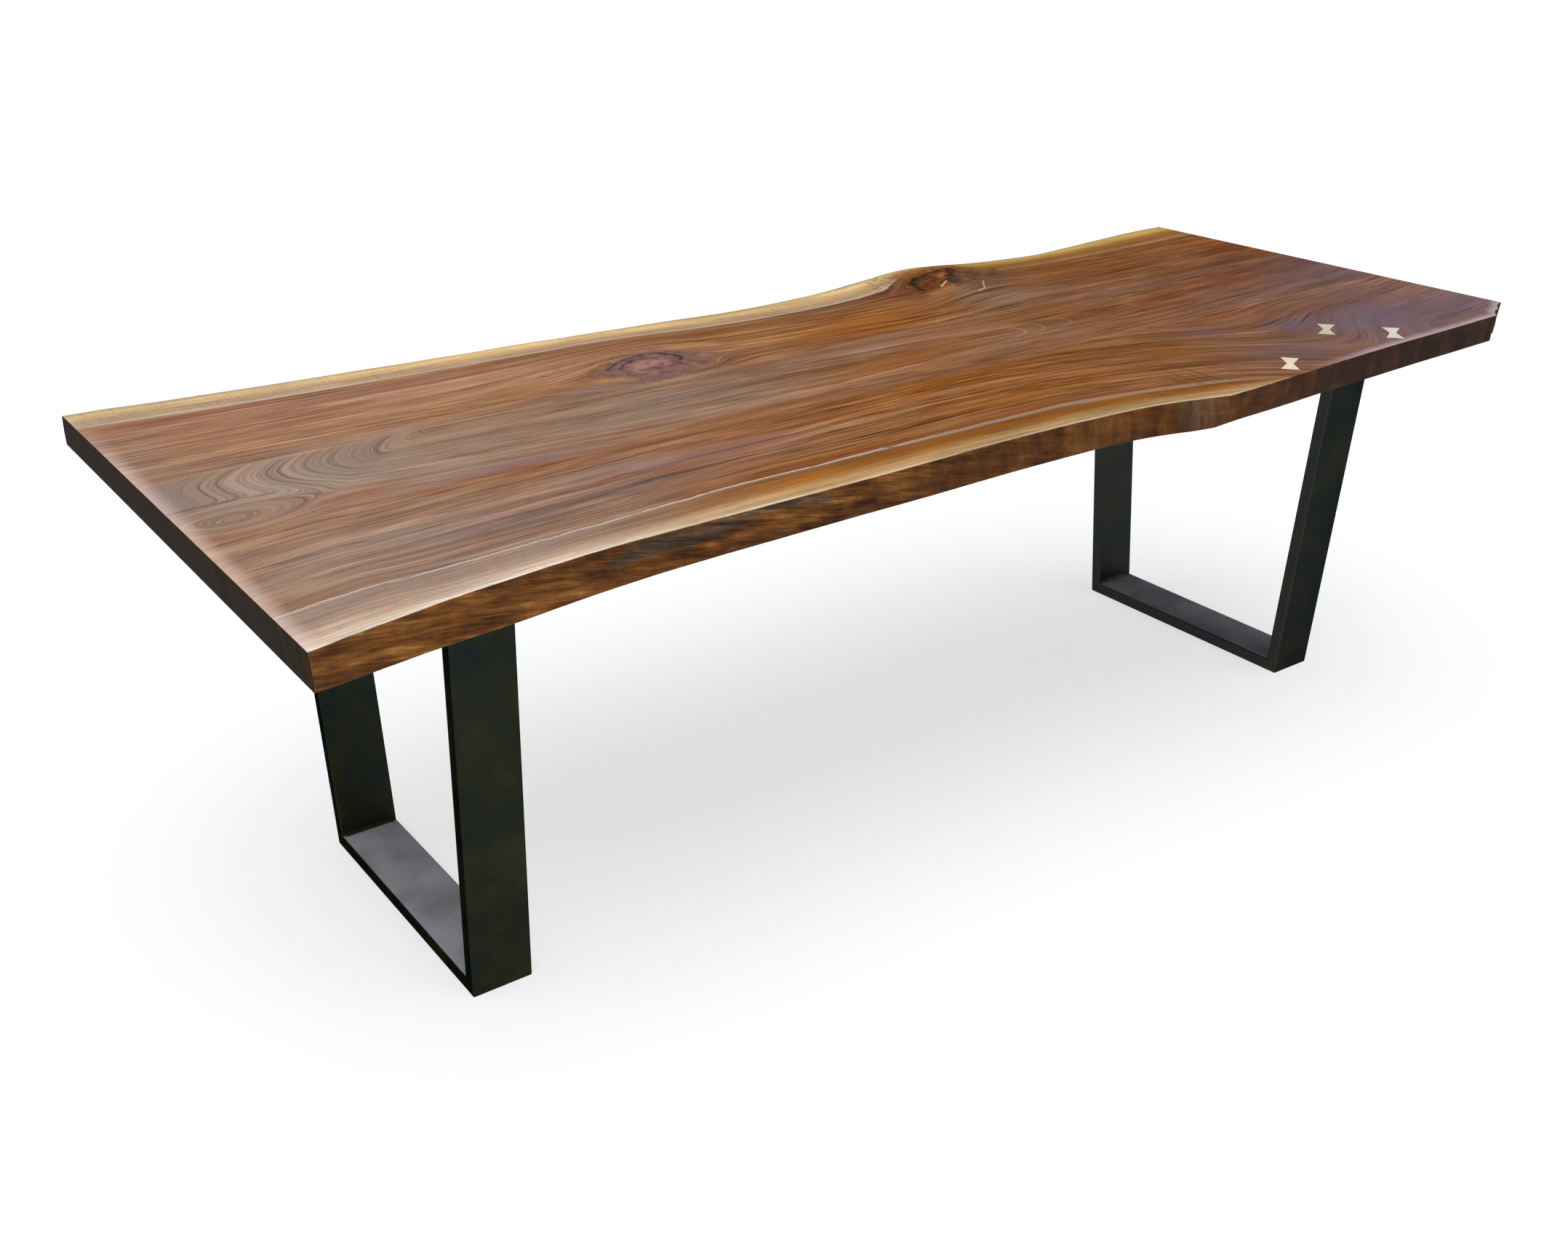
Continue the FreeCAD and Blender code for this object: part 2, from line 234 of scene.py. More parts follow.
soft_box("left_end_soft_box", (-0.25, 3.65, 2.1), (-0.25, 3.2, 0.76), (1.7, 2.9), 13)
right_box = soft_box("right_end_soft_box", (5.4, 2.0, 1.75), (1.1, -0.3, 0.76), (1.6, 0.8), 4)
right_box.data.color = linear("#ccd6ff")[:3]
soft_box("key_soft_box", (-1.9, -1.3, 2.7), (-0.9, 0.0, 0.76), (1.6, 1.6), 14)

# %% [markdown]
# Wood is drawn by its growth rings, so each board first gets a figure: for every point, how far it lies
# along the board, how deep it lies in the rings, how far from the bark, and how strongly it is stained.
# These fields are worked out here with numpy, as whole arrays, and stored on the mesh as attributes.
# A painted picture could do the same, but fields stay sharp at any size and follow the real edges.

# %% Sizes in millimetres, as in the CAD source
half_length = 1220.0
top_z, underside_z = 762.0, 712.0
thickness = top_z - underside_z
rear_joint_y, front_joint_y = 123.6, -134.9
arris_radius = 1.4
edge_belly = 2.0
knuckle_x = 325.1
knuckle_lean = 15.25
knuckle_reach = 90.0
break_length, break_width = 92.0, 50.0
break_front_y = -463.0
bite_depth = 4.5
break_undercut = 4.0


# %% Smooth curves and smooth noise
def smooth_line(table):
    """Curve through a table of (x, y): cubic pieces with central difference slopes between the points."""
    xs, ys = np.array(table, dtype=float).T
    slopes = np.gradient(ys, xs)

    def height_at(x):
        piece = np.clip(np.searchsorted(xs, x) - 1, 0, len(xs) - 2)
        step = xs[piece + 1] - xs[piece]
        t = (x - xs[piece]) / step
        start = (1 + 2 * t) * (1 - t) ** 2 * ys[piece] + t * (1 - t) ** 2 * step * slopes[piece]
        end = t * t * (3 - 2 * t) * ys[piece + 1] + t * t * (t - 1) * step * slopes[piece + 1]
        return start + end

    return height_at


def soft_noise(points, size, seed):
    """Smooth random field from -1 to 1: random values at the corners of cells, blended across each cell.

    The values come from one list: large primes times the corner's counts say which, so that neighbouring
    corners have unrelated values."""
    value_count = 4096
    primes = np.array((73856093, 19349663, 83492791))
    values = np.random.default_rng(seed).uniform(-1, 1, value_count)
    cells = np.asarray(points, dtype=float) / size
    corner = np.floor(cells).astype(np.int64)
    t = cells - corner
    t = t * t * (3 - 2 * t)
    total = np.zeros(len(cells))
    for offset in itertools.product((0, 1), repeat=cells.shape[1]):
        place = (corner + offset) @ primes[:cells.shape[1]]
        total += values[place % value_count] * np.prod(np.where(offset, t, 1 - t), axis=1)
    return total


def soft_step(value, start, end):
    """0 at start and 1 at end, with a soft curve between."""
    t = np.clip((value - start) / (end - start), 0, 1)
    return t * t * (3 - 2 * t)


def lean_bump(x):
    """How much the lean of the knuckle shifts a point at x: a bell round the knuckle."""
    return np.exp(-((x - knuckle_x) / knuckle_reach) ** 2)


# %% [markdown]
# The live edges are traced in plan, at the top face and at the underside, and the edge between them is
# ruled with a slight belly. The front edge has a sharp knuckle that leans: it is drawn as two curves
# that meet there. The broken front right corner is two shallow bites along a slanting line.

# %% Plan of the live edges
rear_top = smooth_line([
    (-1256, 534), (-1220, 528.6), (-1157, 524.6), (-1096, 515.6), (-1035, 508.6), (-974, 502.6),
    (-913, 496.6), (-852, 491.6), (-791, 487.6), (-730, 483.6), (-669, 478.6), (-608, 475.6),
    (-547, 470.6), (-486, 468.6), (-425, 465.6), (-364, 459.6), (-303, 455.6), (-242, 449.6),
    (-181, 445.6), (-120, 440), (-59, 432.5), (2, 428.6), (63, 429), (124, 433), (185, 439),
    (246, 449), (307, 463), (368, 478), (429, 493.6), (490, 498.6), (551, 484.6), (612, 462.6),
    (673, 447.6), (734, 438.6), (795, 433.6), (856, 439.6), (917, 446.6), (978, 454.6),
    (1039, 461.6), (1100, 468.6), (1161, 472.6), (1220, 473), (1256, 474)])
rear_bottom = smooth_line([
    (-1256, 536), (-1220, 534), (-1000, 515), (-750, 496.6), (-500, 479.5), (-250, 459.8), (-61, 441.1),
    (61, 436.8), (200, 447.5), (310, 467.3), (420, 491.8), (490, 499.8), (550, 489.1), (620, 468.3),
    (700, 452.3), (800, 443.2), (950, 459.2), (1220, 480), (1256, 481)])
front_sweep_top = smooth_line([
    (-1256, -533), (-1220, -528.4), (-1168, -517.4), (-1120, -507.4), (-1072, -498), (-1024, -489.6),
    (-976, -483), (-928, -476.4), (-880, -471.4), (-832, -467), (-784, -464.6), (-700, -463), (-560, -462.4),
    (-448, -462.4), (-352, -461), (-256, -458), (-160, -455), (-64, -455), (32, -456.4), (80, -459.4),
    (128, -462), (176, -466.4), (224, -474), (262, -485), (296, -495), (knuckle_x, -504.5)])
front_sweep_bottom = smooth_line([
    (-1256, -537), (-1220, -534), (-1120, -520.4), (-1072, -513.4), (-928, -498.4), (-880, -491.4),
    (-832, -485.4), (-784, -480.4), (-736, -476.4), (-640, -472.4), (-544, -470.4), (-448, -468.4),
    (-256, -466.8), (-160, -464), (32, -463.4), (128, -466.4), (190, -474), (240, -484), (286, -495),
    (knuckle_x, -501.5)])
front_run_top = smooth_line([
    (knuckle_x, -504.5), (408, -501.4), (512, -495), (608, -488.6), (704, -482.4), (800, -477.4),
    (896, -474.4), (992, -471.4), (1088, -467), (1220, -463), (1256, -462)])
front_run_bottom = smooth_line([
    (knuckle_x, -501.5), (368, -497.4), (464, -492.4), (608, -483.4), (752, -477.4), (896, -470.4),
    (992, -467.4), (1088, -463.4), (1220, -459.5), (1256, -458)])

# The break is only looked for to the right of this, and a Y far outside the table stands for no break
break_from_x = 1110.0
far_outside = -1000.0


def break_line(x, rise):
    """Y of the broken corner: a slanting line with two parabolic bites, stepping inwards below."""
    share = np.linspace(-0.2, 1.1, 400)
    bite = bite_depth * np.clip(1 - (4 * (share % 0.5) - 1) ** 2, 0, 1) * (share > 0) * (share < 1)
    into_wood_x, into_wood_y = -0.48, 0.88
    line_x = half_length - break_length + break_length * share + into_wood_x * bite
    line_y = break_front_y + break_width * share + into_wood_y * bite
    return np.interp(x, line_x, line_y, left=far_outside) + break_undercut * (1 - rise)


def front_edge(x, rise):
    """Y of the front live edge: ruled between its top and bottom curves, less the broken corner."""
    bump = lean_bump(x)
    station = x - knuckle_lean * (2 * rise - 1) * bump
    station = x - knuckle_lean * (2 * rise - 1) * lean_bump(station)
    before = station < knuckle_x
    top = np.where(before, front_sweep_top(station), front_run_top(station))
    bottom = np.where(before, front_sweep_bottom(station), front_run_bottom(station))
    y = bottom + (top - bottom) * rise - edge_belly * np.sin(np.pi * np.clip(rise, 0, 1))
    return np.maximum(y, np.where(x > break_from_x, break_line(x, rise), far_outside))


def rear_edge(x, rise):
    """Y of the rear live edge: ruled between its top and bottom curves."""
    y = rear_bottom(x) + (rear_top(x) - rear_bottom(x)) * rise
    return y + edge_belly * np.sin(np.pi * np.clip(rise, 0, 1))


def bark_waves(x, z, outward):
    """Swells left where the bark was peeled off: three sizes of soft noise, flatter at the arrises."""
    points = np.stack([x, z, np.full_like(x, 500.0 * outward)], axis=-1)
    rise = (z - underside_z) / thickness
    room = 0.35 + 0.65 * np.sin(np.pi * np.clip(rise, 0, 1))
    swell = np.zeros(len(x))
    for height, stretch, size, seed in ((1.1, 3.0, 26, 5), (0.8, 1.6, 11, 6), (0.35, 1.0, 5, 7)):
        swell += height * soft_noise(points / (stretch, 1, 1), size, seed)
    return outward * swell * room


# %% [markdown]
# Each board is a closed skin over a block of grid points. The rows along the edges are closer together,
# so that the arrises can be eased to a small radius by one formula: every point is drawn towards a block
# that is smaller by the radius, and then pushed back out by the radius.

# %% Rows of grid points, and the skin over them
def spread(start, end, step):
    """Evenly spaced values from start to end, about a step apart."""
    return np.linspace(start, end, int(round(abs(end - start) / step)) + 1)


arris_rows = np.array((0.0, 0.35, 0.9, 1.4))
height_rows = np.concatenate([arris_rows, spread(4, thickness - 4, 3.5), thickness - arris_rows[::-1]])
end_rows = np.concatenate([-half_length + arris_rows, [-half_length + 3.5]])
knuckle_rows = spread(knuckle_x - 60, knuckle_x + 60, 3.0)
break_rows = np.concatenate([spread(1110, 1126, 4), spread(1128, 1174, 2.3), spread(1176, 1214, 2.3)])
station_rows = np.concatenate([end_rows, spread(-1212, knuckle_x - 66, 5.6), knuckle_rows,
                               spread(knuckle_x + 66, 1104, 5.6), break_rows, -end_rows[::-1]])
print(len(station_rows), "stations along each board,", len(height_rows), "rows in its height")


def block_skin(name, counts, place):
    """Closed mesh over the outside of a block of grid points; place gives the points of index arrays."""
    index = np.stack(np.meshgrid(*[np.arange(count) for count in counts], indexing="ij"), axis=-1)
    last = np.array(counts) - 1
    outside = ((index == 0) | (index == last)).any(axis=-1)
    number = np.full(counts, -1)
    number[outside] = np.arange(outside.sum())
    points = place(*index[outside].T)
    sheets = [number[0], number[-1], number[:, 0], number[:, -1], number[:, :, 0], number[:, :, -1]]
    quads = [grid_quads(sheet) for sheet in sheets]
    return new_mesh(name, points, np.concatenate(quads).tolist())


def grid_quads(number):
    """Four-sided faces between the neighbours in a grid of point numbers."""
    corners = [number[:-1, :-1], number[1:, :-1], number[1:, 1:], number[:-1, 1:]]
    return np.stack(corners, axis=-1).reshape(-1, 4)


def joined(shells):
    """All the points, and all the faces, of several closed shells."""
    points, faces, start = [], [], 0
    for corners, sides in shells:
        points.append(corners)
        faces += [[start + corner for corner in side] for side in sides]
        start += len(corners)
    return np.concatenate(points), faces


def new_mesh(name, points, faces):
    """Object from points in millimetres and faces, with its faces turned outwards."""
    mesh = bpy.data.meshes.new(name)
    mesh.from_pydata((points * mm).tolist(), [], faces)
    shell = bmesh.new()
    shell.from_mesh(mesh)
    bmesh.ops.recalc_face_normals(shell, faces=shell.faces)
    shell.to_mesh(mesh)
    shell.free()
    thing = bpy.data.objects.new(name, mesh)
    scene.collection.objects.link(thing)
    return thing


def eased(points, lowest, highest, radius):
    """Rounds a block's edges: a point goes to a block smaller by the radius, then back out by it.

    Points that leave the smaller block on one side only lie on a flat face, and stay."""
    inner = np.clip(points, lowest + radius, highest - radius)
    out = points - inner
    on_arris = (np.abs(out) > 1e-9).sum(axis=-1, keepdims=True) > 1
    length = np.linalg.norm(out, axis=-1, keepdims=True)
    return np.where(on_arris, inner + out * radius / np.maximum(length, 1e-9), points)


# %% The front and rear boards
def live_board(name, joint_y, edge, outward, rim_rows):
    """Board from a straight joint to a live edge: rows at fixed insets from the edge, then even shares."""
    share_rows = np.linspace(0, 1, 56)[1:]

    def place(across, along, up_index):
        x = station_rows[along]
        high = height_rows[up_index]
        rise = high / thickness
        width = outward * (edge(x, rise) - joint_y)
        insets = np.concatenate([rim_rows, np.full(len(share_rows), rim_rows[-1])])
        shares = np.concatenate([np.zeros(len(rim_rows)), share_rows])
        inset = insets[across] + shares[across] * (width - rim_rows[-1])
        block = np.stack([inset, x, high], axis=-1)
        lowest = np.array((0.0, -half_length, 0.0))
        highest = np.array((1e4, half_length, thickness))
        inset, x, high = eased(block, lowest, highest, arris_radius).T
        rise = high / thickness
        if outward < 0:
            near_edge = np.exp(-inset / 60)
            x = x + knuckle_lean * (2 * rise - 1) * lean_bump(x) * near_edge
        z = underside_z + high
        y = edge(x, rise) - outward * inset
        y = y + bark_waves(x, z, outward) * np.exp(-inset / 6)
        y = np.where(shares[across] == 1, joint_y, y)
        return np.stack([x, y, z], axis=-1)

    counts = (len(rim_rows) + len(share_rows), len(station_rows), len(height_rows))
    return block_skin(name, counts, place)


rim_rows = np.array((0.0, 0.35, 0.9, 1.4, 3.2, 7.0))
rear_piece = live_board("rear_walnut_board", rear_joint_y, rear_edge, 1, rim_rows)
front_piece = live_board("front_walnut_board", front_joint_y, front_edge, -1, rim_rows)
print("rear board", len(rear_piece.data.polygons), "faces; front board", len(front_piece.data.polygons))

# %% [markdown]
# The middle board is a plain plank, but a drying crack runs in from its left end. The crack is real
# geometry: three rows of the grid follow it, and the middle one drops into the wood.

# %% The middle board
crack_line = smooth_line([
    (-1240, -12.4), (-1218, -11.4), (-1180, -9.4), (-1130, -10.4), (-1072, -15.4), (-1040, -17)])
crack_start, crack_end = -1240.0, -1070.0
crack_depth = 4.0
crack_half_width = 0.9
crack_tip_half_width = 0.15
# Rows of the grid on each side of the row that follows the crack
rows_below = 26
rows_above = 28


def middle_place(across, along, up_index):
    """Plank between the two joints, with a groove along the crack line that dies out at its end."""
    x = station_rows[along]
    high = height_rows[up_index]
    crack_y = crack_line(np.clip(x, crack_start, crack_end))
    opening = np.sqrt(np.clip((crack_end - x) / (crack_end + half_length), 0, 1))
    half_gap = crack_tip_half_width + crack_half_width * opening
    below = np.clip(across / (rows_below - 1), 0, 1)
    above = np.clip((across - rows_below - 1) / (rows_above - 1), 0, 1)
    y_below = front_joint_y + below * (crack_y - half_gap - front_joint_y)
    y_above = crack_y + half_gap + above * (rear_joint_y - crack_y - half_gap)
    on_crack = across == rows_below
    y = np.where(on_crack, crack_y, np.where(across < rows_below, y_below, y_above))
    lowest = np.array((-1e4, -half_length, 0.0))
    highest = np.array((1e4, half_length, thickness))
    y, x, high = eased(np.stack([y, x, high], axis=-1), lowest, highest, arris_radius).T
    groove = on_crack & (up_index == len(height_rows) - 1)
    high = high - groove * crack_depth * opening
    return np.stack([x, y, underside_z + high], axis=-1)


middle_counts = (rows_below + 1 + rows_above, len(station_rows), len(height_rows))
middle_piece = block_skin("middle_walnut_board", middle_counts, middle_place)
print("middle board", len(middle_piece.data.polygons), "faces")

# %% [markdown]
# The boards are machined from below and above: pockets for the butterfly keys, mortises for the loose
# tenons and bores for the threaded inserts. The cutters are prisms, joined into one mesh for each board,
# and Blender's Boolean modifier takes them out.

# %% Cutters
# Place of each butterfly key, and how far it is turned in degrees
key_places = {"butterfly_key_near_edge": (559.98, -442.15, 40.0),
              "butterfly_key_near_joint": (790.56, -337.49, 39.0),
              "butterfly_key_near_end": (866.2, -425.6, 43.0)}
leg_middle_x = {"left": -910.3, "right": 923.2}
leg_middle_y = 3.6
# Four inserts over each leg, this far from its middle
insert_reach_x, insert_reach_y = 28.0, 225.2
insert_places = [(leg_x + side_x * insert_reach_x, leg_middle_y + side_y * insert_reach_y)
                 for leg_x in leg_middle_x.values() for side_y in (-1, 1) for side_x in (-1, 1)]
# How far a cutter runs past the face that it cuts
overrun = 5.0


def prism(outline, low, high, axis):
    """Closed prism: an outline of two coordinates, carried from low to high along an axis."""
    outline = np.asarray(outline, dtype=float)
    count = len(outline)
    rings = [np.insert(outline, axis, level, axis=1) for level in (low, high)]
    here = np.arange(count)
    after = (here + 1) % count
    sides = [[a, b, b + count, a + count] for a, b in zip(here, after)]
    return np.concatenate(rings), sides + [here.tolist(), (here + count).tolist()]


def key_prism(place):
    """Pocket of a butterfly key: a double dovetail pinched at its waist, turned to its place."""
    half_key, half_end, half_waist = 36.15, 15.65, 5.65
    pocket_depth = 12.1
    outline = np.array([(-half_key, -half_end), (0, -half_waist), (half_key, -half_end),
                        (half_key, half_end), (0, half_waist), (-half_key, half_end)])
    x, y, degrees = place
    angle = np.radians(degrees)
    spin = np.array(((np.cos(angle), -np.sin(angle)), (np.sin(angle), np.cos(angle))))
    return prism(outline @ spin.T + (x, y), top_z - pocket_depth, top_z + overrun, 2)


def bore_prism(x, y):
    """Blind bore for a threaded insert, a circle of 32 sides."""
    bore_radius, bore_depth = 6.05, 20.0
    angle = np.linspace(0, 2 * np.pi, 33)[:-1]
    circle = np.stack([x + bore_radius * np.cos(angle), y + bore_radius * np.sin(angle)], axis=-1)
    return prism(circle, underside_z - overrun, underside_z + bore_depth, 2)


def mortise_prism(x, joint_y):
    """Mortise for a loose tenon: a chamfered slot that crosses the joint."""
    half, tall, cut = 25.1, 5.1, 2.5
    mortise_depth = 31.0
    outline = np.array([(-half, cut - tall), (cut - half, -tall), (half - cut, -tall), (half, cut - tall),
                        (half, tall - cut), (half - cut, tall), (cut - half, tall), (-half, tall - cut)])
    middle_z = (top_z + underside_z) / 2
    return prism(outline + (x, middle_z), joint_y - mortise_depth, joint_y + mortise_depth, 1)


def cut_out(piece, prisms):
    """Takes prisms out of a piece, and shades it smooth but for its sharp edges."""
    cutter = new_mesh("cutter", *joined(prisms))
    modifier = piece.modifiers.new("machining", "BOOLEAN")
    modifier.operation = "DIFFERENCE"
    modifier.solver = "MANIFOLD"
    modifier.object = cutter
    done = bpy.data.meshes.new_from_object(piece.evaluated_get(bpy.context.evaluated_depsgraph_get()))
    piece.modifiers.clear()
    done.shade_smooth()
    done.set_sharp_from_angle(angle=np.radians(35))
    piece.data = done
    bpy.data.objects.remove(cutter)
    print(piece.name, "has", len(done.polygons), "faces after machining")


tenon_count = 8
tenon_reach = 1060.0
tenon_x = np.linspace(-tenon_reach, tenon_reach, tenon_count)
rear_mortises = [mortise_prism(x, rear_joint_y) for x in tenon_x]
front_mortises = [mortise_prism(x, front_joint_y) for x in tenon_x]
rear_bores = [bore_prism(*place) for place in insert_places if place[1] > 0]
front_bores = [bore_prism(*place) for place in insert_places if place[1] < 0]
cut_out(rear_piece, rear_mortises + rear_bores)
cut_out(middle_piece, rear_mortises + front_mortises)
cut_out(front_piece, front_mortises + front_bores + [key_prism(place) for place in key_places.values()])

# %% [markdown]
# Now the figure of each board. A growth ring shows on the face as a line, and all lines of one board are
# the level lines of one field, the depth in the rings. In the outer boards the rings follow the bark and
# straighten towards the joint; round a knot they part, as water parts round a stone. In the middle board,
# sawn nearer to the heart, they close into long cathedral arches.

# %% Lines between sapwood and heartwood
rear_sap = smooth_line([
    (-1256, 446), (-1197, 443.6), (-1070, 430), (-945, 418.6), (-800, 410), (-630, 403.6), (-450, 398),
    (-277, 390.6), (-151, 367.6), (-30, 353), (101, 348.6), (190, 353), (252, 361.6), (291, 371), (339, 388),
    (384, 421), (425, 446), (480, 462), (530, 450), (565, 418), (605, 382), (680, 366), (882, 358.6),
    (1210, 371.6), (1256, 374)])
front_sap = smooth_line([
    (-1256, -420), (-1210, -416.4), (-1140, -405), (-1071, -397.4), (-1040, -399), (-900, -393),
    (-756, -384.4), (-554, -371.4), (-378, -371.4), (0, -371.4), (90, -375), (164, -384.4), (240, -398),
    (315, -416.4), (416, -447.4), (491, -491.4), (560, -545), (650, -635), (760, -760), (900, -920)])


def away_from_line(x, y, line, start, end):
    """Signed distance in plan from a curve, positive above it: to the nearest of its sample points."""
    sample_x = np.arange(start, end, 4.0)
    sample_y = line(sample_x)
    slope = np.gradient(sample_y, sample_x)
    normal = np.stack([-slope, np.ones_like(slope)], axis=-1)
    normal /= np.linalg.norm(normal, axis=-1, keepdims=True)
    result = np.empty(len(x))
    for first in range(0, len(x), 20000):
        part = slice(first, first + 20000)
        gap_x = x[part, None] - sample_x
        gap_y = y[part, None] - sample_y
        near = np.argmin(gap_x ** 2 + gap_y ** 2, axis=1)
        rows = np.arange(len(near))
        dot = gap_x[rows, near] * normal[near, 0] + gap_y[rows, near] * normal[near, 1]
        result[part] = np.sign(dot) * np.hypot(gap_x[rows, near], gap_y[rows, near])
    return result


def round_knot(rings, x, y, centre, radii, turn_degrees=0.0):
    """Parts the rings round a knot, as a stream parts round a stone, and coils them inside it."""
    angle = np.radians(turn_degrees)
    gap_x, gap_y = x - centre[0], y - centre[1]
    along = (gap_x * np.cos(angle) + gap_y * np.sin(angle)) / radii[0]
    across = (gap_y * np.cos(angle) - gap_x * np.sin(angle)) / radii[1]
    reach = np.hypot(along, across) + 1e-6
    parted = rings + gap_y / np.maximum(reach, 1) ** 2
    coiled = rings + gap_y + (reach - 1) * radii[1] * 0.35
    plan = np.stack([x, y], axis=-1)
    knotted = 9 * soft_noise(plan, 26, 31) + 4 * soft_noise(plan, 13, 32)
    return np.where(reach > 1, parted, coiled) + knotted * soft_step(reach, 1.4, 0.8)


# %% [markdown]
# Walnut isn't one brown. Each board is stained in its own places: amber where the light strikes deep, red
# beside the sapwood, grey where the oil took less, violet near the knot and the right end. A stain is a
# soft bell, written as its centre, its reach along and across the board in millimetres, and its strength.

# %% Stains of each board
rear_stains = {
    "amber": [(150, 205, 210, 100, 1.0), (-120, 280, 200, 90, 0.4), (350, 250, 90, 80, 0.5),
              (1160, 290, 90, 120, 0.75), (820, 300, 260, 90, 0.7)],
    "violet": [(-325, 205, 100, 72, 0.85), (-325, 150, 90, 40, 0.8), (-470, 140, 100, 24, 0.6),
               (1100, 140, 90, 30, 0.4)],
    "grey": [(500, 240, 110, 90, 0.8), (-1190, 250, 60, 160, 0.4), (-900, 140, 280, 22, 0.6),
             (-640, 310, 220, 70, 0.45), (420, 190, 90, 50, 0.6)],
    "red": [(1160, 190, 90, 130, 0.9), (-1000, 402, 260, 20, 0.9), (-900, 300, 300, 60, 0.4),
            (900, 220, 260, 110, 0.35), (-318, 192, 60, 26, 0.35), (560, 350, 60, 50, 0.5),
            (340, 350, 60, 50, 0.6)]}
middle_stains = {
    "amber": [(60, -20, 220, 60, 0.7), (230, 20, 160, 90, 0.4), (460, 40, 160, 60, 0.5),
              (-300, -118, 160, 16, 0.4)],
    "violet": [(-1205, 60, 40, 70, 0.7), (-760, -110, 120, 25, 0.5), (1130, -20, 150, 130, 0.8),
               (980, -80, 220, 70, 0.5), (820, 105, 220, 30, 0.35), (-1020, -100, 90, 30, 0.3)],
    "grey": [(-950, 0, 470, 150, 1.0), (-450, 20, 330, 130, 1.0), (-60, 70, 420, 60, 0.5),
             (1150, -130, 120, 60, 0.3), (260, -30, 200, 60, 0.4)],
    "red": [(980, 30, 260, 70, 0.5), (700, -20, 200, 60, 0.35), (-990, -90, 70, 22, 0.7),
            (-780, -128, 260, 12, 0.6)]}
front_stains = {
    "amber": [(20, -185, 420, 50, 1.0), (-420, -190, 150, 40, 0.4), (60, -300, 330, 90, 0.9),
              (-300, -345, 300, 20, 0.7), (450, -250, 120, 120, 0.6), (600, -170, 90, 50, 0.4)],
    "violet": [(790, -285, 120, 70, 1.0), (940, -340, 230, 150, 0.95), (1160, -380, 130, 120, 0.8),
               (620, -400, 90, 70, 0.7), (600, -200, 60, 50, 0.6), (1000, -180, 160, 50, 0.5),
               (-560, -230, 180, 40, 0.5), (-760, -300, 220, 40, 0.3)],
    "grey": [(-1000, -300, 420, 120, 0.95), (-640, -230, 300, 60, 0.7), (-900, -380, 400, 40, 0.9),
             (-760, -290, 200, 80, 0.8)],
    "red": [(-560, -250, 150, 14, 0.6), (700, -150, 150, 30, 0.5), (880, -200, 200, 40, 0.3),
            (-350, -200, 160, 30, 0.4)]}
# On the peeled front edge a blot is written by its X and Z: slate patches, and patches that glow
edge_stains = [(-750, 753, 80, 13, 1.0), (-640, 754, 100, 13, 1.0), (-530, 752, 90, 12, 0.9),
               (-640, 712, 170, 9, 0.6), (-40, 722, 70, 12, 0.4)]
edge_glows = [(-1010, 716, 110, 12, 1.0), (-1110, 736, 60, 12, 0.5), (-930, 720, 70, 12, 0.6),
              (-620, 736, 150, 7, 0.7), (60, 722, 60, 12, 0.4)]
# Tables by X: half the width of the pale line beside the sapwood, and how dark the wood is: partly its
# own tone, partly painted shade where the light falls off towards the right
pale_front = ((-1220, -400, -150, 100, 300, 400, 480), (1.5, 2.2, 5.5, 6.5, 8.5, 7.0, 3.0))
pale_rear = ((-1220, -700, 150, 250), (2.0, 3.6, 4.0, 2.4))
darkening_with_painted_shade = ((-1220, -1000, -650, -350, 0, 300, 800, 1220),
             (-0.02, -0.07, -0.05, -0.02, 0.05, 0.06, 0.10, 0.13))
# Two lighter places in the rear board, each written like a stain
lighter_places = [(-620, 290, 260, 90, 0.19), (-30, 250, 180, 100, 0.07)]


def stained(x, y, blots):
    """Strongest of several soft blots, each a bell of its own size, ragged with noise."""
    points = np.stack([x, y], axis=-1)
    broad, narrow = points / (2.2, 1), points / (1.8, 1)
    wobble_x = 38 * soft_noise(broad, 60, 11) + 14 * soft_noise(narrow, 21, 12)
    wobble_y = 14 * soft_noise(broad, 60, 13) + 6 * soft_noise(narrow, 21, 14)
    total = np.zeros(len(x))
    for centre_x, centre_y, reach_x, reach_y, strength in blots:
        gap = ((x + wobble_x - centre_x) / reach_x) ** 2 + ((y + wobble_y - centre_y) / reach_y) ** 2
        total = np.maximum(total, strength * np.exp(-gap))
    return total


# %% Fields stored on a board
def points_of(piece):
    """Points of a piece in millimetres, and the directions that they face."""
    count = len(piece.data.vertices)
    places = np.zeros(count * 3, np.float32)
    facings = np.zeros(count * 3, np.float32)
    piece.data.vertices.foreach_get("co", places)
    piece.data.vertex_normals.foreach_get("vector", facings)
    return places.reshape(-1, 3).astype(float) / mm, facings.reshape(-1, 3).astype(float)


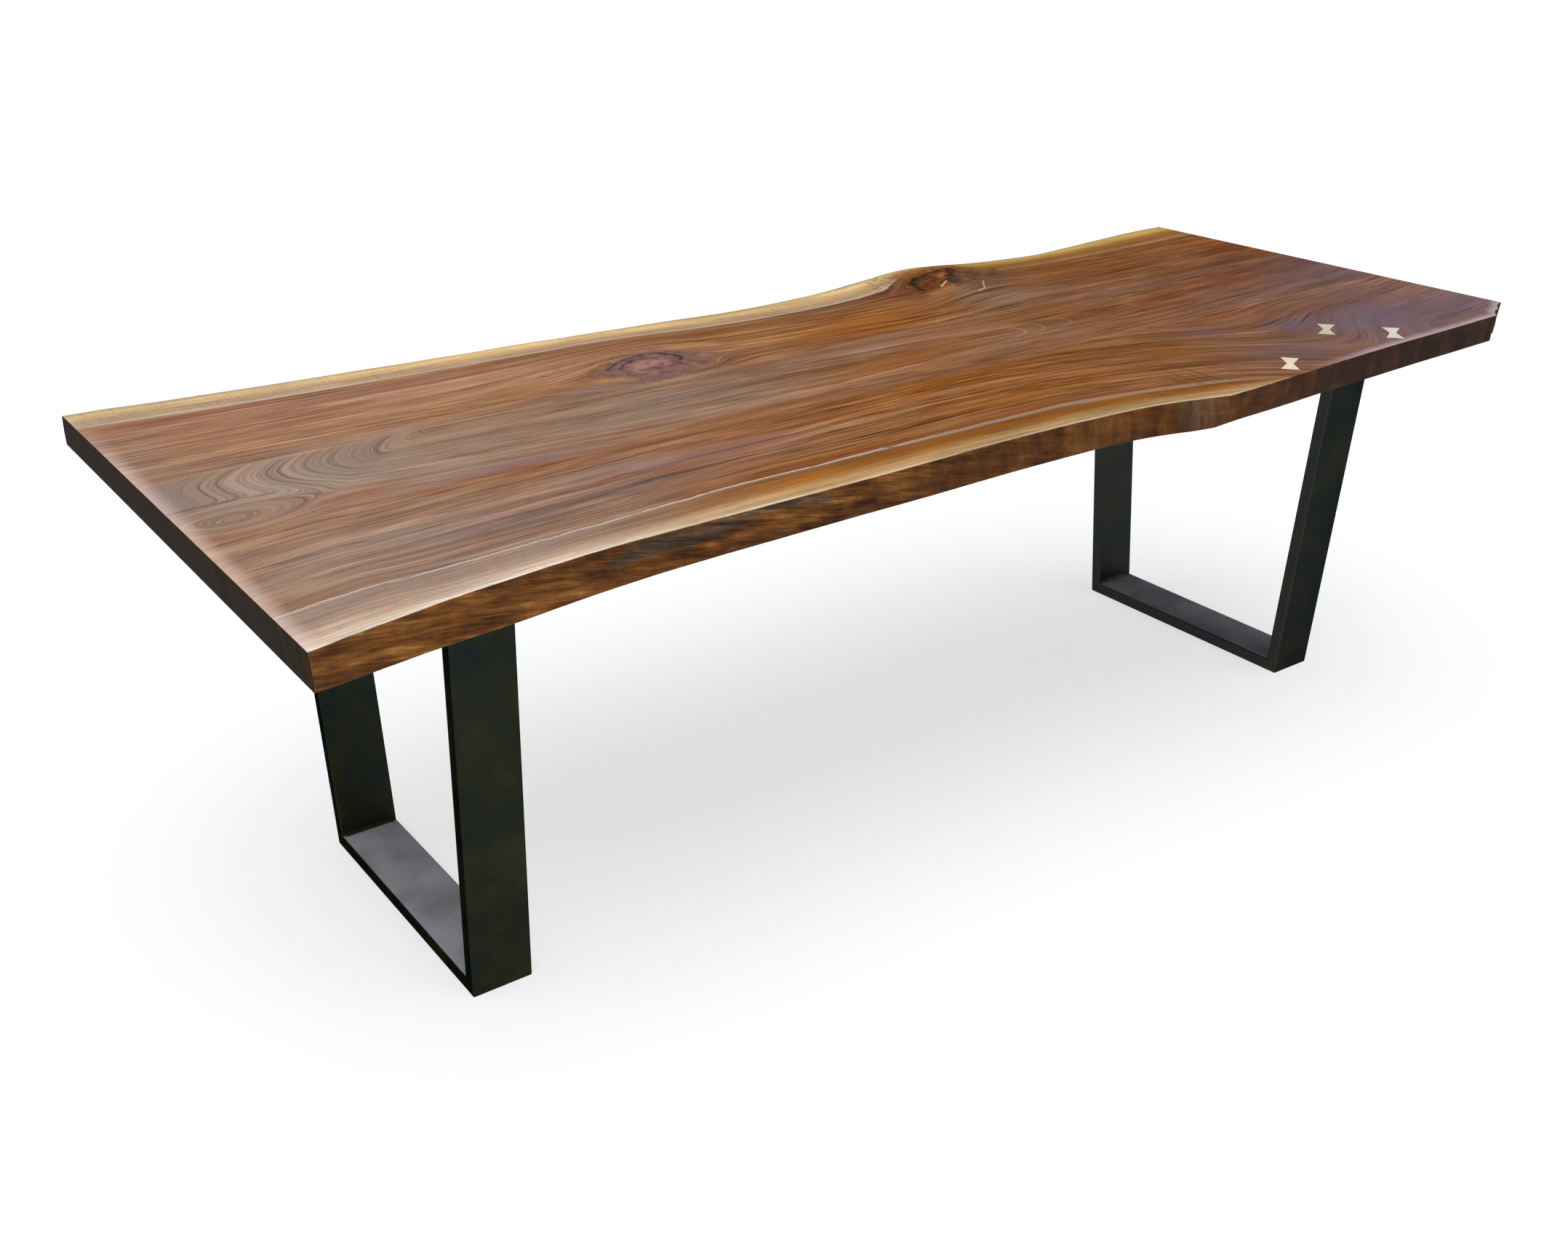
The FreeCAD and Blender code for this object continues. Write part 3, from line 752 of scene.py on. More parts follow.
def dress(piece, seed, outward, stains, rings, sap_gap, bark_gap, figure, sapwood, sap_light, levels):
    """Stores the fields of a board on its points, three to an attribute.

    grain: place along the board, ring depth and a shift of the noise. rim: gap to the sap line, share of
    the way from bark to sap line, and darkness of the edge. stain: amber, violet and grey. figure: curl
    above 0 or bows below it, tip of the arch through the point, and the steepness of that arch. sapwood:
    how olive and how pink it is, and cross hatching. shade: slate of the edge less its glow, lightness of
    the sapwood, and nearness to the sap line. face: peeled edge, sawn end and red stain. level: darkening,
    strength of the streaks, and half the width of the pale line in millimetres."""
    points, facing = points_of(piece)
    x, y, z = points.T
    depth = top_z - z
    # The rings lean as they go down, and waver in two sizes
    soft = np.stack([x / 3.2, y, z * 0.7], axis=-1)
    rings = rings + 0.45 * depth
    for height, size, noise_seed in ((5.0, 70, 21), (1.6, 24, 22)):
        rings = rings + height * soft_noise(soft, size, noise_seed + seed)
    on_edge = soft_step(outward * facing[:, 1], 0.45, 0.8) * (bark_gap < 12)
    on_end = soft_step(np.abs(facing[:, 0]), 0.35, 0.6) * (np.abs(x) > half_length - 3)
    rise = bark_gap / np.maximum(bark_gap + sap_gap, 1)
    along_sweep = soft_step(x, -700, -420) * soft_step(x, 480, 300) * (outward < 0)
    near_line = np.exp(-(sap_gap / 26) ** 2) * along_sweep
    amber, violet, grey, red = [stained(x, y, stains[name]) for name in ("amber", "violet", "grey", "red")]
    slate = stained(x, z, edge_stains) - stained(x, z, edge_glows)
    dark_edge = soft_step(x, 250, 720) * (outward < 0)
    pale_half = np.interp(x, *(pale_rear if outward > 0 else pale_front))
    # Darker towards the right: partly the wood's own tone, partly painted shade of the light falling off
    darker = np.interp(x, *darkening_with_painted_shade)
    for centre_x, centre_y, reach_x, reach_y, strength in lighter_places:
        darker -= strength * np.exp(-((x - centre_x) / reach_x) ** 2 - ((y - centre_y) / reach_y) ** 2)
    contrast = np.interp(x, (-1220, -500, 200, 700), levels)
    fields = {"grain": (x, rings, 17.0 * seed), "stain": (amber, violet, grey), "figure": figure,
              "rim": (sap_gap + 0.3 * depth, rise, dark_edge), "sapwood": sapwood,
              "shade": (slate * on_edge, np.interp(x, *sap_light), near_line),
              "face": (on_edge, on_end, red), "level": (darker, contrast, pale_half)}
    for name, columns in fields.items():
        values = np.stack([np.broadcast_to(column, len(x)) for column in columns], axis=-1)
        attribute = piece.data.attributes.new(name, "FLOAT_VECTOR", "POINT")
        attribute.data.foreach_set("vector", values.astype(np.float32).ravel())


# %% The figure of each board
def rear_fields(piece):
    """Rear board: rings follow the sap line and straighten towards the joint, parting round two knots."""
    x, y, z = points_of(piece)[0].T
    below_line = rear_sap(x) - y
    rings = (460 - y) + (rear_sap(x) - 460) * np.exp(-np.maximum(below_line, 0) / 120)
    rings = round_knot(rings, x, y, (-325, 195), (112, 80))
    rings = round_knot(rings, x, y, (468, 398), (105, 44), 42)
    bark = rear_edge(x, (z - underside_z) / thickness) - y
    dress(piece, 1, 1, rear_stains, rings, -below_line, bark, (0, 0, 1),
          (soft_step(x, 430, 620), 0, soft_step(x, 330, 150)),
          ((-1220, -700, -400, 0, 600, 1200), (0.9, 1.02, 1.13, 1.03, 1.12, 1.2)), (2.8, 1.6, 3.0, 1.2))


def front_fields(piece):
    """Front board: rings are offsets of the sap line, and turn straight beyond the violet wood."""
    x, y, z = points_of(piece)[0].T
    above_line = away_from_line(x, y, front_sap, -1256, 900)
    straight = y + 470 + 25 * np.sin((x - 600) / 170)
    rings = above_line + (straight - above_line) * soft_step(x + 0.5 * y, 430, 800)
    bark = y - front_edge(x, (z - underside_z) / thickness)
    curl = np.exp(-((x - 378) / 75) ** 2 - ((y + 395) / 62) ** 2)
    dress(piece, 2, -1, front_stains, rings, -above_line, bark, (curl, 0, 1),
          (0, 1 - 0.999 * soft_step(x, -900, -420), 0),
          ((-500, 0, 800), (1.04, 0.92, 0.87)), (1.2, 2.2, 2.6, 1.1))


def middle_fields(piece):
    """Middle board: long flat arches in the middle, bows at the left end, and a swirl below the bows."""
    x, y, z = points_of(piece)[0].T
    # Each arch is a curve x = tip - arch_length * off_centre ** arch_power
    arch_length, arch_power, arch_half_width = 745, 3.3, 78
    off_centre = np.abs(y + 3 - 28 * soft_step(x, -300, -700)) / arch_half_width
    arch_tip = x + arch_length * off_centre ** arch_power
    arch_slope = np.hypot(1, arch_length * arch_power / arch_half_width * off_centre ** (arch_power - 1))
    # The flat lines fan out to the left; the bows are parabolas, and the swirl is a set of ovals
    fan = 0.00016 * np.maximum(-350 - x, 0) ** 2 * np.interp(y, (-140, 20, 100), (1.0, 0.9, 0.3))
    flat = y - fan + 12 * np.sin(x / 330)
    bows = 0.8 * (x - 0.010 * (y - 55) ** 2) + 730
    swirl = 0.8 * np.hypot(0.6 * (x + 1165), y + 72)
    in_bows = soft_step(x - 1.2 * (y - 100), -790, -850) * soft_step(y, -75, 5)
    in_swirl = 0.85 * np.exp(-((x + 1160) / 90) ** 2 - ((y + 75) / 48) ** 2)
    rings = flat + (bows - flat) * in_bows
    rings = rings + (swirl - rings) * in_swirl
    # There is no bark on this board: its gaps say that every point is deep in the heartwood
    dress(piece, 3, 0, middle_stains, rings, -200 + 0 * x, 200 + 0 * x, (-in_bows, arch_tip, arch_slope),
          (0, 0, 0), ((0, 1), (1, 1)), (1.1, 1.3, 1.3, 1.7))


rear_fields(rear_piece)
front_fields(front_piece)
middle_fields(middle_piece)
print("figure stored on three boards")


# %% [markdown]
# Oiled black walnut: chocolate heartwood with fine open pores, streaked along the grain in tones from
# near black to straw, under a satin oil finish that leaves a soft wide sheen. The sapwood under the bark
# is cream. Streaks are noise stretched along the grain: its scale is the length and width in millimetres
# of one streak, and it is measured across the rings, so streaks bend round knots with them.

# %% Streaks and marks
def streaks(tree, grain, length, width, detail=2.0, roughness=0.5, shift=0.0):
    """Noise of streaks with a length along the grain and a width across it, in millimetres."""
    scaled = add(tree, "Mapping", {"Vector": grain, "Location": (shift, shift, shift),
                                   "Scale": (1 / length, 1 / width, 0.37)})
    return add(tree, "TexNoise", {"Vector": scaled, "Scale": 1.0, "Detail": detail, "Roughness": roughness})


def scattered(tree, grain, length, width, low, high, shift):
    """1 in scattered streaks and 0 between them; the noise rises from low to high at their rims."""
    noise = streaks(tree, grain, length, width, shift=shift)
    return add(tree, "MapRange", {0: noise, 1: low, 2: high}, **softly)


def weighted(tree, start, *terms):
    """A start value plus each pattern's swing about its middle, times its weight."""
    total = start
    for pattern, weight in terms:
        swing = add(tree, "Math", {0: pattern, 1: 0.5}, operation="SUBTRACT")
        total = add(tree, "Math", {0: swing, 1: weight, 2: total}, operation="MULTIPLY_ADD")
    return total


def product(tree, *values):
    """Product of two or more values."""
    total = values[0]
    for value in values[1:]:
        total = add(tree, "Math", {0: total, 1: value}, operation="MULTIPLY")
    return total


def painted(tree, wood, *coats):
    """Lays coats over the wood in turn, each with its share and its colour."""
    for share, colour in coats:
        colour = linear(colour) if isinstance(colour, str) else colour
        wood = add(tree, "Mix", {0: share, first_colour: wood, second_colour: colour}, **colours)
    return wood


def stroke_share(tree, place, half_width, softness, *strokes):
    """1 on drawn strokes and 0 away from them: the distance in plan to the nearest of their segments."""
    nearest = 1e4
    for stroke in strokes:
        for start, end in zip(stroke[:-1], stroke[1:]):
            start, end = np.array((*start, 0.0)), np.array((*end, 0.0))
            span = end - start
            gap = add(tree, "VectorMath", {0: place, 1: start.tolist()}, operation="SUBTRACT")
            along = add(tree, "VectorMath", {0: gap, 1: (span / (span @ span)).tolist()},
                        operation="DOT_PRODUCT", out="Value")
            along = add(tree, "Clamp", {0: along})
            foot = add(tree, "VectorMath", {0: span.tolist(), "Scale": along}, operation="SCALE")
            distance = add(tree, "VectorMath", {0: gap, 1: foot}, operation="DISTANCE", out="Value")
            nearest = add(tree, "Math", {0: nearest, 1: distance}, operation="MINIMUM")
    return add(tree, "MapRange", {0: nearest, 1: half_width + softness, 2: half_width - softness}, **softly)


# %% [markdown]
# The walnut itself. First the fields of the boards are read back, then streaks of many sizes are added up
# into one tone, from 0 for the darkest wood to 1 for the palest. Coarse streaks give the broad change of
# light and dark that is seen from across a room, fine ones the fibres that are seen close by.

# %% Walnut: its patterns
walnut, tree, shader = new_material("black_walnut_oiled")
grain = add(tree, "Attribute", attribute_name="grain", out="Vector")
fields = {}
for name, parts in {"rim": "sap_gap bark_rise edge_dark", "stain": "amber violet grey",
                    "figure": "curl_or_bows arch_tip arch_slope", "sapwood": "olive pink hatch",
                    "shade": "edge_stain sap_light near_line", "face": "on_edge on_end red",
                    "level": "darker contrast pale_half"}.items():
    stored = add(tree, "Attribute", attribute_name=name, out="Vector")
    fields.update(zip(parts.split(), add(tree, "SeparateXYZ", {0: stored}).node.outputs))
on_edge, on_end, near_line = fields["on_edge"], fields["on_end"], fields["near_line"]

# Length and width of one streak in millimetres, and the detail and roughness of its noise.
# Real pores are finer, about 0.2 mm wide: these are drawn coarser, or they wouldn't show at all.
streak_sizes = {"fibre": (110, 1.8, 3.0, 0.6), "fleck": (190, 4.2, 3.0, 0.65), "band": (520, 11, 3.0),
                "drift": (800, 60), "cloud": (150, 40, 3.0, 0.55), "pore": (9, 0.8, 1.0)}
fibre, fleck, band, drift, cloud, pore = [streaks(tree, grain, *sizes) for sizes in streak_sizes.values()]
in_bows = add(tree, "Math", {0: fields["curl_or_bows"], 1: -1.0}, operation="MULTIPLY", use_clamp=True)
curl = add(tree, "Clamp", {0: fields["curl_or_bows"]})
line_streak = streaks(tree, grain, 900, 3.0, 1.0)
bow_streak = streaks(tree, grain, 2500, 6, 3.0, 0.6)
near_swing, bow_swing = [
    product(tree, add(tree, "Math", {0: streak, 1: 0.5}, operation="SUBTRACT"), share)
    for streak, share in ((line_streak, near_line), (bow_streak, in_bows))]
bow_dark = product(tree, add(tree, "MapRange", {0: bow_streak, 1: 0.52, 2: 0.4}, **softly), in_bows)

# %% Walnut: one tone from all the patterns
fine = weighted(tree, 0.0, (fibre, 0.45), (fleck, 0.5), (band, 0.25))
tone = weighted(tree, 0.5, (band, 0.25), (drift, 0.45), (cloud, 0.35), (pore, 0.25))
for pattern, weight in ((fine, fields["contrast"]), (near_swing, 1.4), (bow_swing, 0.09), (bow_dark, -0.04)):
    tone = add(tree, "Math", {0: pattern, 1: weight, 2: tone}, operation="MULTIPLY_ADD")
# The wood's own tone with painted shade: darker towards the right end
even, tone = [
    add(tree, "Math", {0: value, 1: fields["darker"]}, operation="SUBTRACT") for value in (0.5, tone)]
# Violet wood is smoother: there the tone is drawn towards an even one
smoother = add(tree, "Math", {0: fields["violet"], 1: 0.8}, operation="MULTIPLY", use_clamp=True)
tone = add(tree, "Mix", {0: smoother, 2: tone, 3: even})
dash_patch = scattered(tree, grain, 260, 40, 0.38, 0.6, 41.0)
dark_dash = product(tree, scattered(tree, grain, 120, 3.2, 0.56, 0.66, 43.0), dash_patch)
ring_line = scattered(tree, grain, 700, 3.0, 0.6, 0.72, 47.0)
for line, weight in ((dark_dash, -0.28), (ring_line, -0.2)):
    tone = add(tree, "Math", {0: line, 1: weight, 2: tone}, operation="MULTIPLY_ADD")

# %% Walnut: heartwood and its stains
tones = {name: add(tree, "ValToRGB", {0: tone}, shades=shades) for name, shades in {
    "heart": "#2a1709 #58371f #795439 #926b4b #b08a62", "grey": "#30251f #59483d #776355 #8f7a6c #ad998a",
    "amber": "#301503 #5f350c #7e4a18 #96602a #b78447", "violet": "#251b1e #483a3e #665459 #7c686d #9a868c",
    "red": "#260d05 #4e240e #703a18 #874d2a #a96d45"}.items()}
# Coloured dashes lie on plain wood only, and not in the bows or in violet wood
marked = add(tree, "Math", {0: in_bows, 1: smoother}, operation="MAXIMUM")
plain = add(tree, "Math", {0: 1.0, 1: marked}, operation="SUBTRACT")
red_dash = scattered(tree, grain, 240, 5, 0.55, 0.66, 11.0)
grey_dash = scattered(tree, grain, 260, 7, 0.56, 0.68, 23.0)
tan_dash = product(tree, scattered(tree, grain, 150, 3.4, 0.57, 0.67, 37.0), dash_patch)
stain_coats = [(fields[name], tones[name]) for name in ("grey", "amber", "violet", "red")]
wood = painted(tree, tones["heart"], *stain_coats,
               (product(tree, red_dash, plain, 0.45), "#743a1a"),
               (product(tree, grey_dash, plain, 0.35), "#4f3b33"),
               (product(tree, tan_dash, plain, 0.45), "#ad8860"),
               (product(tree, bow_dark, 0.13), "#5d5650"), (product(tree, in_bows, 0.16), "#6e5f55"))

# %% [markdown]
# Some marks are drawn one by one, as a cabinet maker would know them on this very top: thin pale arches, two
# knots with their bark and cracks, the glue lines, and fine checks. A stroke is a run of points in plan,
# in millimetres, and a mark is 1 near its strokes. Broad strokes waver with noise, thin ones stay straight.

# %% Walnut: pale arch lines
arch_lines = 0.0
for tip, strength in ((345, 0.55), (392, 0.3), (460, 0.35), (640, 0.18), (900, 0.12)):
    gap = add(tree, "Math", {0: fields["arch_tip"], 1: tip}, operation="SUBTRACT")
    gap = add(tree, "Math", {0: gap, 1: fields["arch_slope"]}, operation="DIVIDE")
    gap = add(tree, "Math", {0: gap}, operation="ABSOLUTE")
    line = add(tree, "MapRange", {0: gap, 1: 4.0, 2: 0.6}, **softly)
    arch_lines = add(tree, "Math", {0: line, 1: strength, 2: arch_lines}, operation="MULTIPLY_ADD")
place_x = add(tree, "SeparateXYZ", {0: grain})
inner_arches = add(tree, "MapRange", {0: place_x, 1: -520, 2: 60}, **softly)
arch_patch = scattered(tree, grain, 200, 40, 0.3, 0.55, 61.0)
wood = painted(tree, wood, (product(tree, arch_lines, inner_arches, 0.8, arch_patch), "#a58368"))

# %% Walnut: strokes of knots, glue lines and checks
coords = add(tree, "TexCoord", out="Object")
in_mm = add(tree, "Mapping", {"Vector": coords, "Scale": (1000, 1000, 0)})
wander = add(tree, "TexNoise", {"Vector": in_mm, "Scale": 0.06, "Detail": 3.0}, out="Color")
wander = add(tree, "VectorMath", {0: wander, 1: (0.5, 0.5, 0.5)}, operation="SUBTRACT")
place = add(tree, "VectorMath", {0: wander, 1: (14.0, 14.0, 0.0), 2: in_mm}, operation="MULTIPLY_ADD")
# Half width and softness of a mark in millimetres, its strength, its colour and its strokes
knot_by_the_bark = (
    (36, 34, 0.8, "#47290f", [(392, 342), (432, 396), (500, 428), (550, 436)]),
    (26, 24, 0.8, "#744419", [(424, 440), (470, 462), (528, 466), (552, 452)]),
    (30, 40, 0.45, "#4d3a2e", [(540, 372), (600, 372)], [(520, 320), (590, 330)]),
    (4, 6, 0.7, "#35241b", [(562, 396), (590, 412)], [(548, 360), (572, 376)], [(600, 372), (626, 384)],
     [(528, 342), (546, 352)], [(582, 346), (606, 356)]),
    (16, 12, 0.85, "#552411", [(402, 332), (430, 362), (470, 396), (510, 424), (545, 440)]),
    (12, 12, 0.55, "#5a2f1c", [(322, 322), (340, 330)]),
    (11, 12, 0.5, "#aa7440", [(392, 300), (430, 312), (456, 326)], [(500, 408), (516, 416)]),
    (13, 9, 0.85, "#2f2723", [(490, 352), (506, 374), (514, 392)]),
    (9, 8, 0.95, "#17140f", [(408, 384), (424, 404), (440, 418)]),
    (4, 5, 0.9, "#1f1811", [(388, 336), (396, 362), (410, 390)],
     [(440, 420), (470, 428), (496, 438), (530, 450)]),
    (7, 7, 0.9, "#201213", [(553, 450), (545, 428), (516, 404)]),
    (2.4, 1.0, 0.85, "#cb9a72", [(442, 338), (458, 350), (481, 368)]),
    (1.8, 1.0, 0.7, "#b58c68", [(477, 262), (505, 277), (521, 299), (540, 322)]))
knot_in_the_field = (
    (15, 16, 0.5, "#58454a", [(-411, 212), (-378, 236), (-340, 262), (-305, 268), (-274, 258), (-250, 224),
                              (-236, 180)]),
    (17, 16, 0.5, "#9d7468", [(-350, 206), (-322, 222), (-304, 214)]),
    (3, 4, 0.75, "#2b2023", [(-378, 218), (-360, 240), (-329, 252), (-306, 248)],
     [(-400, 226), (-372, 250), (-335, 270), (-305, 274), (-282, 268)]),
    (4, 4, 0.9, "#1d171a", [(-272, 264), (-258, 242), (-254, 222), (-264, 210)]),
    (3, 4, 0.5, "#4a383c", [(-330, 180), (-296, 186), (-266, 204)], [(-420, 150), (-392, 168)]),
    (12, 14, 0.45, "#b0865c", [(-236, 282), (-200, 272), (-164, 256)], [(-440, 178), (-400, 160)]),
    (3.5, 3.5, 0.55, "#5f2f1e", [(-470, 284), (-463, 282)], [(-506, 262), (-498, 258)],
     [(-452, 220), (-444, 214)]))
glue_lines_and_checks = (
    (1.4, 1.0, 0.35, "#b08a70", [(560, -135.4), (860, -134.9), (1130, -134.4)],
     [(-1210, 123.6), (-560, 123.8)]),
    (0.8, 0.9, 0.85, "#23150d", [(-1103, 179), (-1093, 181), (-1080, 180)], [(-980, 330), (-958, 331)],
     [(-548, 290), (-530, 284)]),
    (1.0, 0.8, 0.85, "#20150f", [(-1222, -7.8), (-1180, -5.8), (-1130, -6.8), (-1072, -11.8)]))
marks = knot_by_the_bark + knot_in_the_field + glue_lines_and_checks

# %% [markdown]
# The sapwood is cream where it was cut clean, olive or golden further along, and pinkish grey at the left
# end. Each of these is a ramp from the bark to the heartwood. Where the two meet, the wood has a dark line,
# a pale line beside it, and bright stripes along the front sweep.

# %% Walnut: sapwood
cream, olive, golden, pink = [add(tree, "ValToRGB", {0: fields["bark_rise"]}, shades=shades) for shades in (
    "#8b7750 #a58e65 #b5996b #ae9167 #a58860 #987b5a #90765a #927b60 #8e7a66",
    "#887143 #987e50 #997c40 #8b6a35 #7b5629 #724e24 #6b4722 #745430 #826441",
    "#ac9678 #967958 #9b794d #8e693e #815322 #7b4c1d #75481c #704c2e #76543a",
    "#bfb0a2 #a18f7e #988270 #8f7a68 #806b5c #7a6456 #776255 #786559 #7a675c")]
# On the front board the pink share is never quite 0, which tells that board from the others
on_front = add(tree, "Math", {0: fields["pink"], 1: 0.0005}, operation="GREATER_THAN")
sap = painted(tree, cream, (fields["olive"], olive), (on_front, golden), (fields["pink"], pink))
across_streak, wobble_streak = streaks(tree, grain, 4, 40, shift=3.0), streaks(tree, grain, 60, 40)
hatching, wobble = [
    add(tree, "Math", {0: streak, 1: 0.5}, operation="SUBTRACT") for streak in (across_streak, wobble_streak)]
sap_tone = weighted(tree, fields["sap_light"], (fibre, 1.4), (band, 0.5), (fleck, 1.1), (cloud, 0.7),
                    (pore, 0.7))
hatching = product(tree, hatching, fields["hatch"])
sap_tone = add(tree, "Math", {0: hatching, 1: 0.45, 2: sap_tone}, operation="MULTIPLY_ADD")
sap = add(tree, "VectorMath", {0: sap, "Scale": sap_tone}, operation="SCALE")
line_gap = add(tree, "Math", {0: wobble, 1: 8.0, 2: fields["sap_gap"]}, operation="MULTIPLY_ADD")
under_bark = add(tree, "MapRange", {0: line_gap, 1: -1.5, 2: 1.5}, **softly)
stripe_place = add(tree, "MapRange", {0: line_gap, 1: 0.0, 2: -44.0})
stripes = add(tree, "ValToRGB", {0: stripe_place},
              shades="#3f220f #8c501f #4c250e #94562a #5a3017 #7e502b #7d6248 #65401f #77481f")
wood = painted(tree, wood, (product(tree, near_line, 0.8), stripes), (under_bark, sap))

# %% Walnut: lines beside the sapwood, and the curl at the knuckle
pale_half = fields["pale_half"]
dark_gap = add(tree, "Math", {0: line_gap, 1: 4.0}, operation="ADD")
pale_gap = add(tree, "Math", {0: pale_half, 1: -0.8, 2: line_gap}, operation="MULTIPLY_ADD")
dark_gap, pale_gap = [add(tree, "Math", {0: gap}, operation="ABSOLUTE") for gap in (dark_gap, pale_gap)]
pale_start = add(tree, "Math", {0: pale_half, 1: 1.6}, operation="ADD")
pale_end = add(tree, "Math", {0: pale_half, 1: 0.7}, operation="SUBTRACT")
dark_line = add(tree, "MapRange", {0: dark_gap, 1: 2.6, 2: 0.4}, **softly)
pale_line = add(tree, "MapRange", {0: pale_gap, 1: pale_start, 2: pale_end}, **softly)
less_olive = add(tree, "Math", {0: fields["olive"], 1: -0.7, 2: 1.0}, operation="MULTIPLY_ADD")
past_knot = add(tree, "MapRange", {0: place_x, 1: 385, 2: 480, 3: 1.0, 4: 0.2}, **softly)
pale_patch = scattered(tree, grain, 40, 30, 0.2, 0.42, 9.0)
pale_wide = add(tree, "MapRange", {0: pale_half, 1: 2.4, 2: 6.0})
pale = add(tree, "ValToRGB", {0: pale_wide}, shades="#aa9b8d #86705a")
curl_line = add(tree, "MapRange", {0: streaks(tree, grain, 8, 110, 2.0), 1: 0.52, 2: 0.64}, **softly)
wood = painted(tree, wood, (product(tree, dark_line, near_line, 0.7), "#3d2311"),
               (product(tree, pale_line, less_olive, past_knot, pale_patch, 0.75), pale),
               (product(tree, curl_line, curl, 0.48), "#45290f"))

# %% Walnut: knots and checks laid over the wood
for half_width, softness, strength, colour, *strokes in marks:
    stroke_place = place if softness > 1 else in_mm
    share = stroke_share(tree, stroke_place, half_width, softness, *strokes)
    wood = painted(tree, wood, (product(tree, share, strength), colour))
# Round the knots the wood is mottled, like burl
knotty = stroke_share(tree, in_mm, 85, 60, [(380, 400), (550, 430)], [(-330, 215), (-300, 205)])
burl = add(tree, "TexNoise", {"Vector": in_mm, "Scale": 0.06, "Detail": 5.0, "Roughness": 0.65})
burl_dark = add(tree, "MapRange", {0: burl, 1: 0.5, 2: 0.62}, **softly)
burl_light = add(tree, "MapRange", {0: burl, 1: 0.48, 2: 0.38}, **softly)
wood = painted(tree, wood, (product(tree, burl_dark, knotty, 0.5), "#3a200f"),
               (product(tree, burl_light, knotty, 0.18), "#a8784c"))

# %% [markdown]
# The long edges are the tree's own surface under the bark, oiled but not planed: streaked along at the
# left, ribbed upright towards the knuckle, slate grey in patches and glowing amber in others. The ends are
# sawn across the fibres, which drink the oil and turn nearly black. Along the left end, and along the
# front edge at the right, a pale painted glare is laid over the colour.

# %% Walnut: patterns of the peeled edge
# Each noise has its size in metres along X, Y and Z, and how far it is tilted in the plane of the edge
edge_noises = []
for size, tilt, detail, roughness, distortion in (
        ((0.11, 0.11, 0.012), 8, 6.0, 0.62, 0.3), ((0.04, 0.04, 0.0024), 10, 3.0, 0.5, 0.0),
        ((0.028, 0.1, 0.12), 0, 4.0, 0.55, 0.0)):
    tilted = add(tree, "Mapping", {"Vector": coords, "Rotation": (0, np.radians(tilt), 0), "Scale": size},
                 vector_type="TEXTURE")
    edge_noises.append(add(tree, "TexNoise", {"Vector": tilted, "Scale": 1.0, "Detail": detail,
                                              "Roughness": roughness, "Distortion": distortion}))
mottle, thin_streak, ribs = edge_noises
bruise = add(tree, "TexNoise", {"Vector": coords, "Scale": 22.0, "Detail": 5.0, "Roughness": 0.6})
# Streaks fade from left to right, while the upright ribs take over
streaky = add(tree, "MapRange", {0: place_x, 1: -350, 2: 50, 3: 1.5, 4: 0.45})
ribbed = add(tree, "MapRange", {0: place_x, 1: -350, 2: 50, 4: 0.85})
streak_swing = product(tree, weighted(tree, 0.0, (mottle, 1.0), (thin_streak, 0.5)), streaky)
rib_swing = product(tree, add(tree, "Math", {0: ribs, 1: 0.5}, operation="SUBTRACT"), ribbed)
glow = add(tree, "Math", {0: fields["edge_stain"], 1: -0.27}, operation="MULTIPLY", use_clamp=True)
edge_tone = weighted(tree, 0.445, (bruise, 0.75), (band, 0.25))
for part in (streak_swing, rib_swing, glow):
    edge_tone = add(tree, "Math", {0: edge_tone, 1: part}, operation="ADD")
slate_share = weighted(tree, fields["edge_stain"], (mottle, 0.7), (bruise, 1.4))
slate_share = add(tree, "MapRange", {0: slate_share, 1: 0.37, 2: 0.66, 4: 0.85}, **softly)

# %% Walnut: colours of the edge, the ends and the strips of painted glare
edge_wood, slate, dark_edge = [add(tree, "ValToRGB", {0: edge_tone}, shades=shades) for shades in (
    "#1d1007 #371d09 #553213 #71491f #9a733e", "#191410 #261f19 #3a3026 #574632 #6c5638",
    "#120b08 #20140e #301c13 #482617 #643319")]
end_tone = weighted(tree, 0.5, (band, 0.5), (pore, 0.8), (fibre, 0.5))
end_wood = add(tree, "ValToRGB", {0: end_tone}, shades="#100c06 #251b0f #45331f")
place_y = add(tree, "SeparateXYZ", {0: in_mm}, out="Y")
# Pale painted glare along the left end, and along the front edge at the right
painted_glare_left_end = product(tree, add(tree, "MapRange", {0: place_x, 1: -1190, 2: -1222, 4: 0.4}, **softly),
                   add(tree, "MapRange", {0: place_y, 1: 430, 2: 180, 3: 0.25}, **softly))
painted_glare_front_edge = product(tree, on_front,
                    add(tree, "MapRange", {0: fields["bark_rise"], 1: 26, 2: 0, 4: 0.5}, **softly),
                    add(tree, "MapRange", {0: place_x, 1: 540, 2: 760}, **softly))
# At the knuckle: a grey painted highlight streak, and a dark painted shade beside it
painted_highlight_rib = stroke_share(tree, in_mm, 18, 20, [(274, -488), (304, -498)])
painted_shade_rib = stroke_share(tree, in_mm, 9, 12, [(252, -482), (262, -485)])
rib_light = add(tree, "MapRange", {0: ribs, 1: 0.36, 2: 0.6}, **softly)
wood = painted(tree, wood, (painted_glare_left_end, "#ccb5aa"), (painted_glare_front_edge, "#b5a3ab"), (on_edge, edge_wood),
               (slate_share, slate), (product(tree, painted_highlight_rib, rib_light, on_edge, 0.3), "#645a4d"),
               (product(tree, painted_shade_rib, on_edge, 0.6), "#2f261d"),
               (product(tree, fields["edge_dark"], on_edge), dark_edge), (on_end, end_wood))

# %% Walnut: sheen and pores
tree.links.new(wood, shader.inputs["Base Color"])
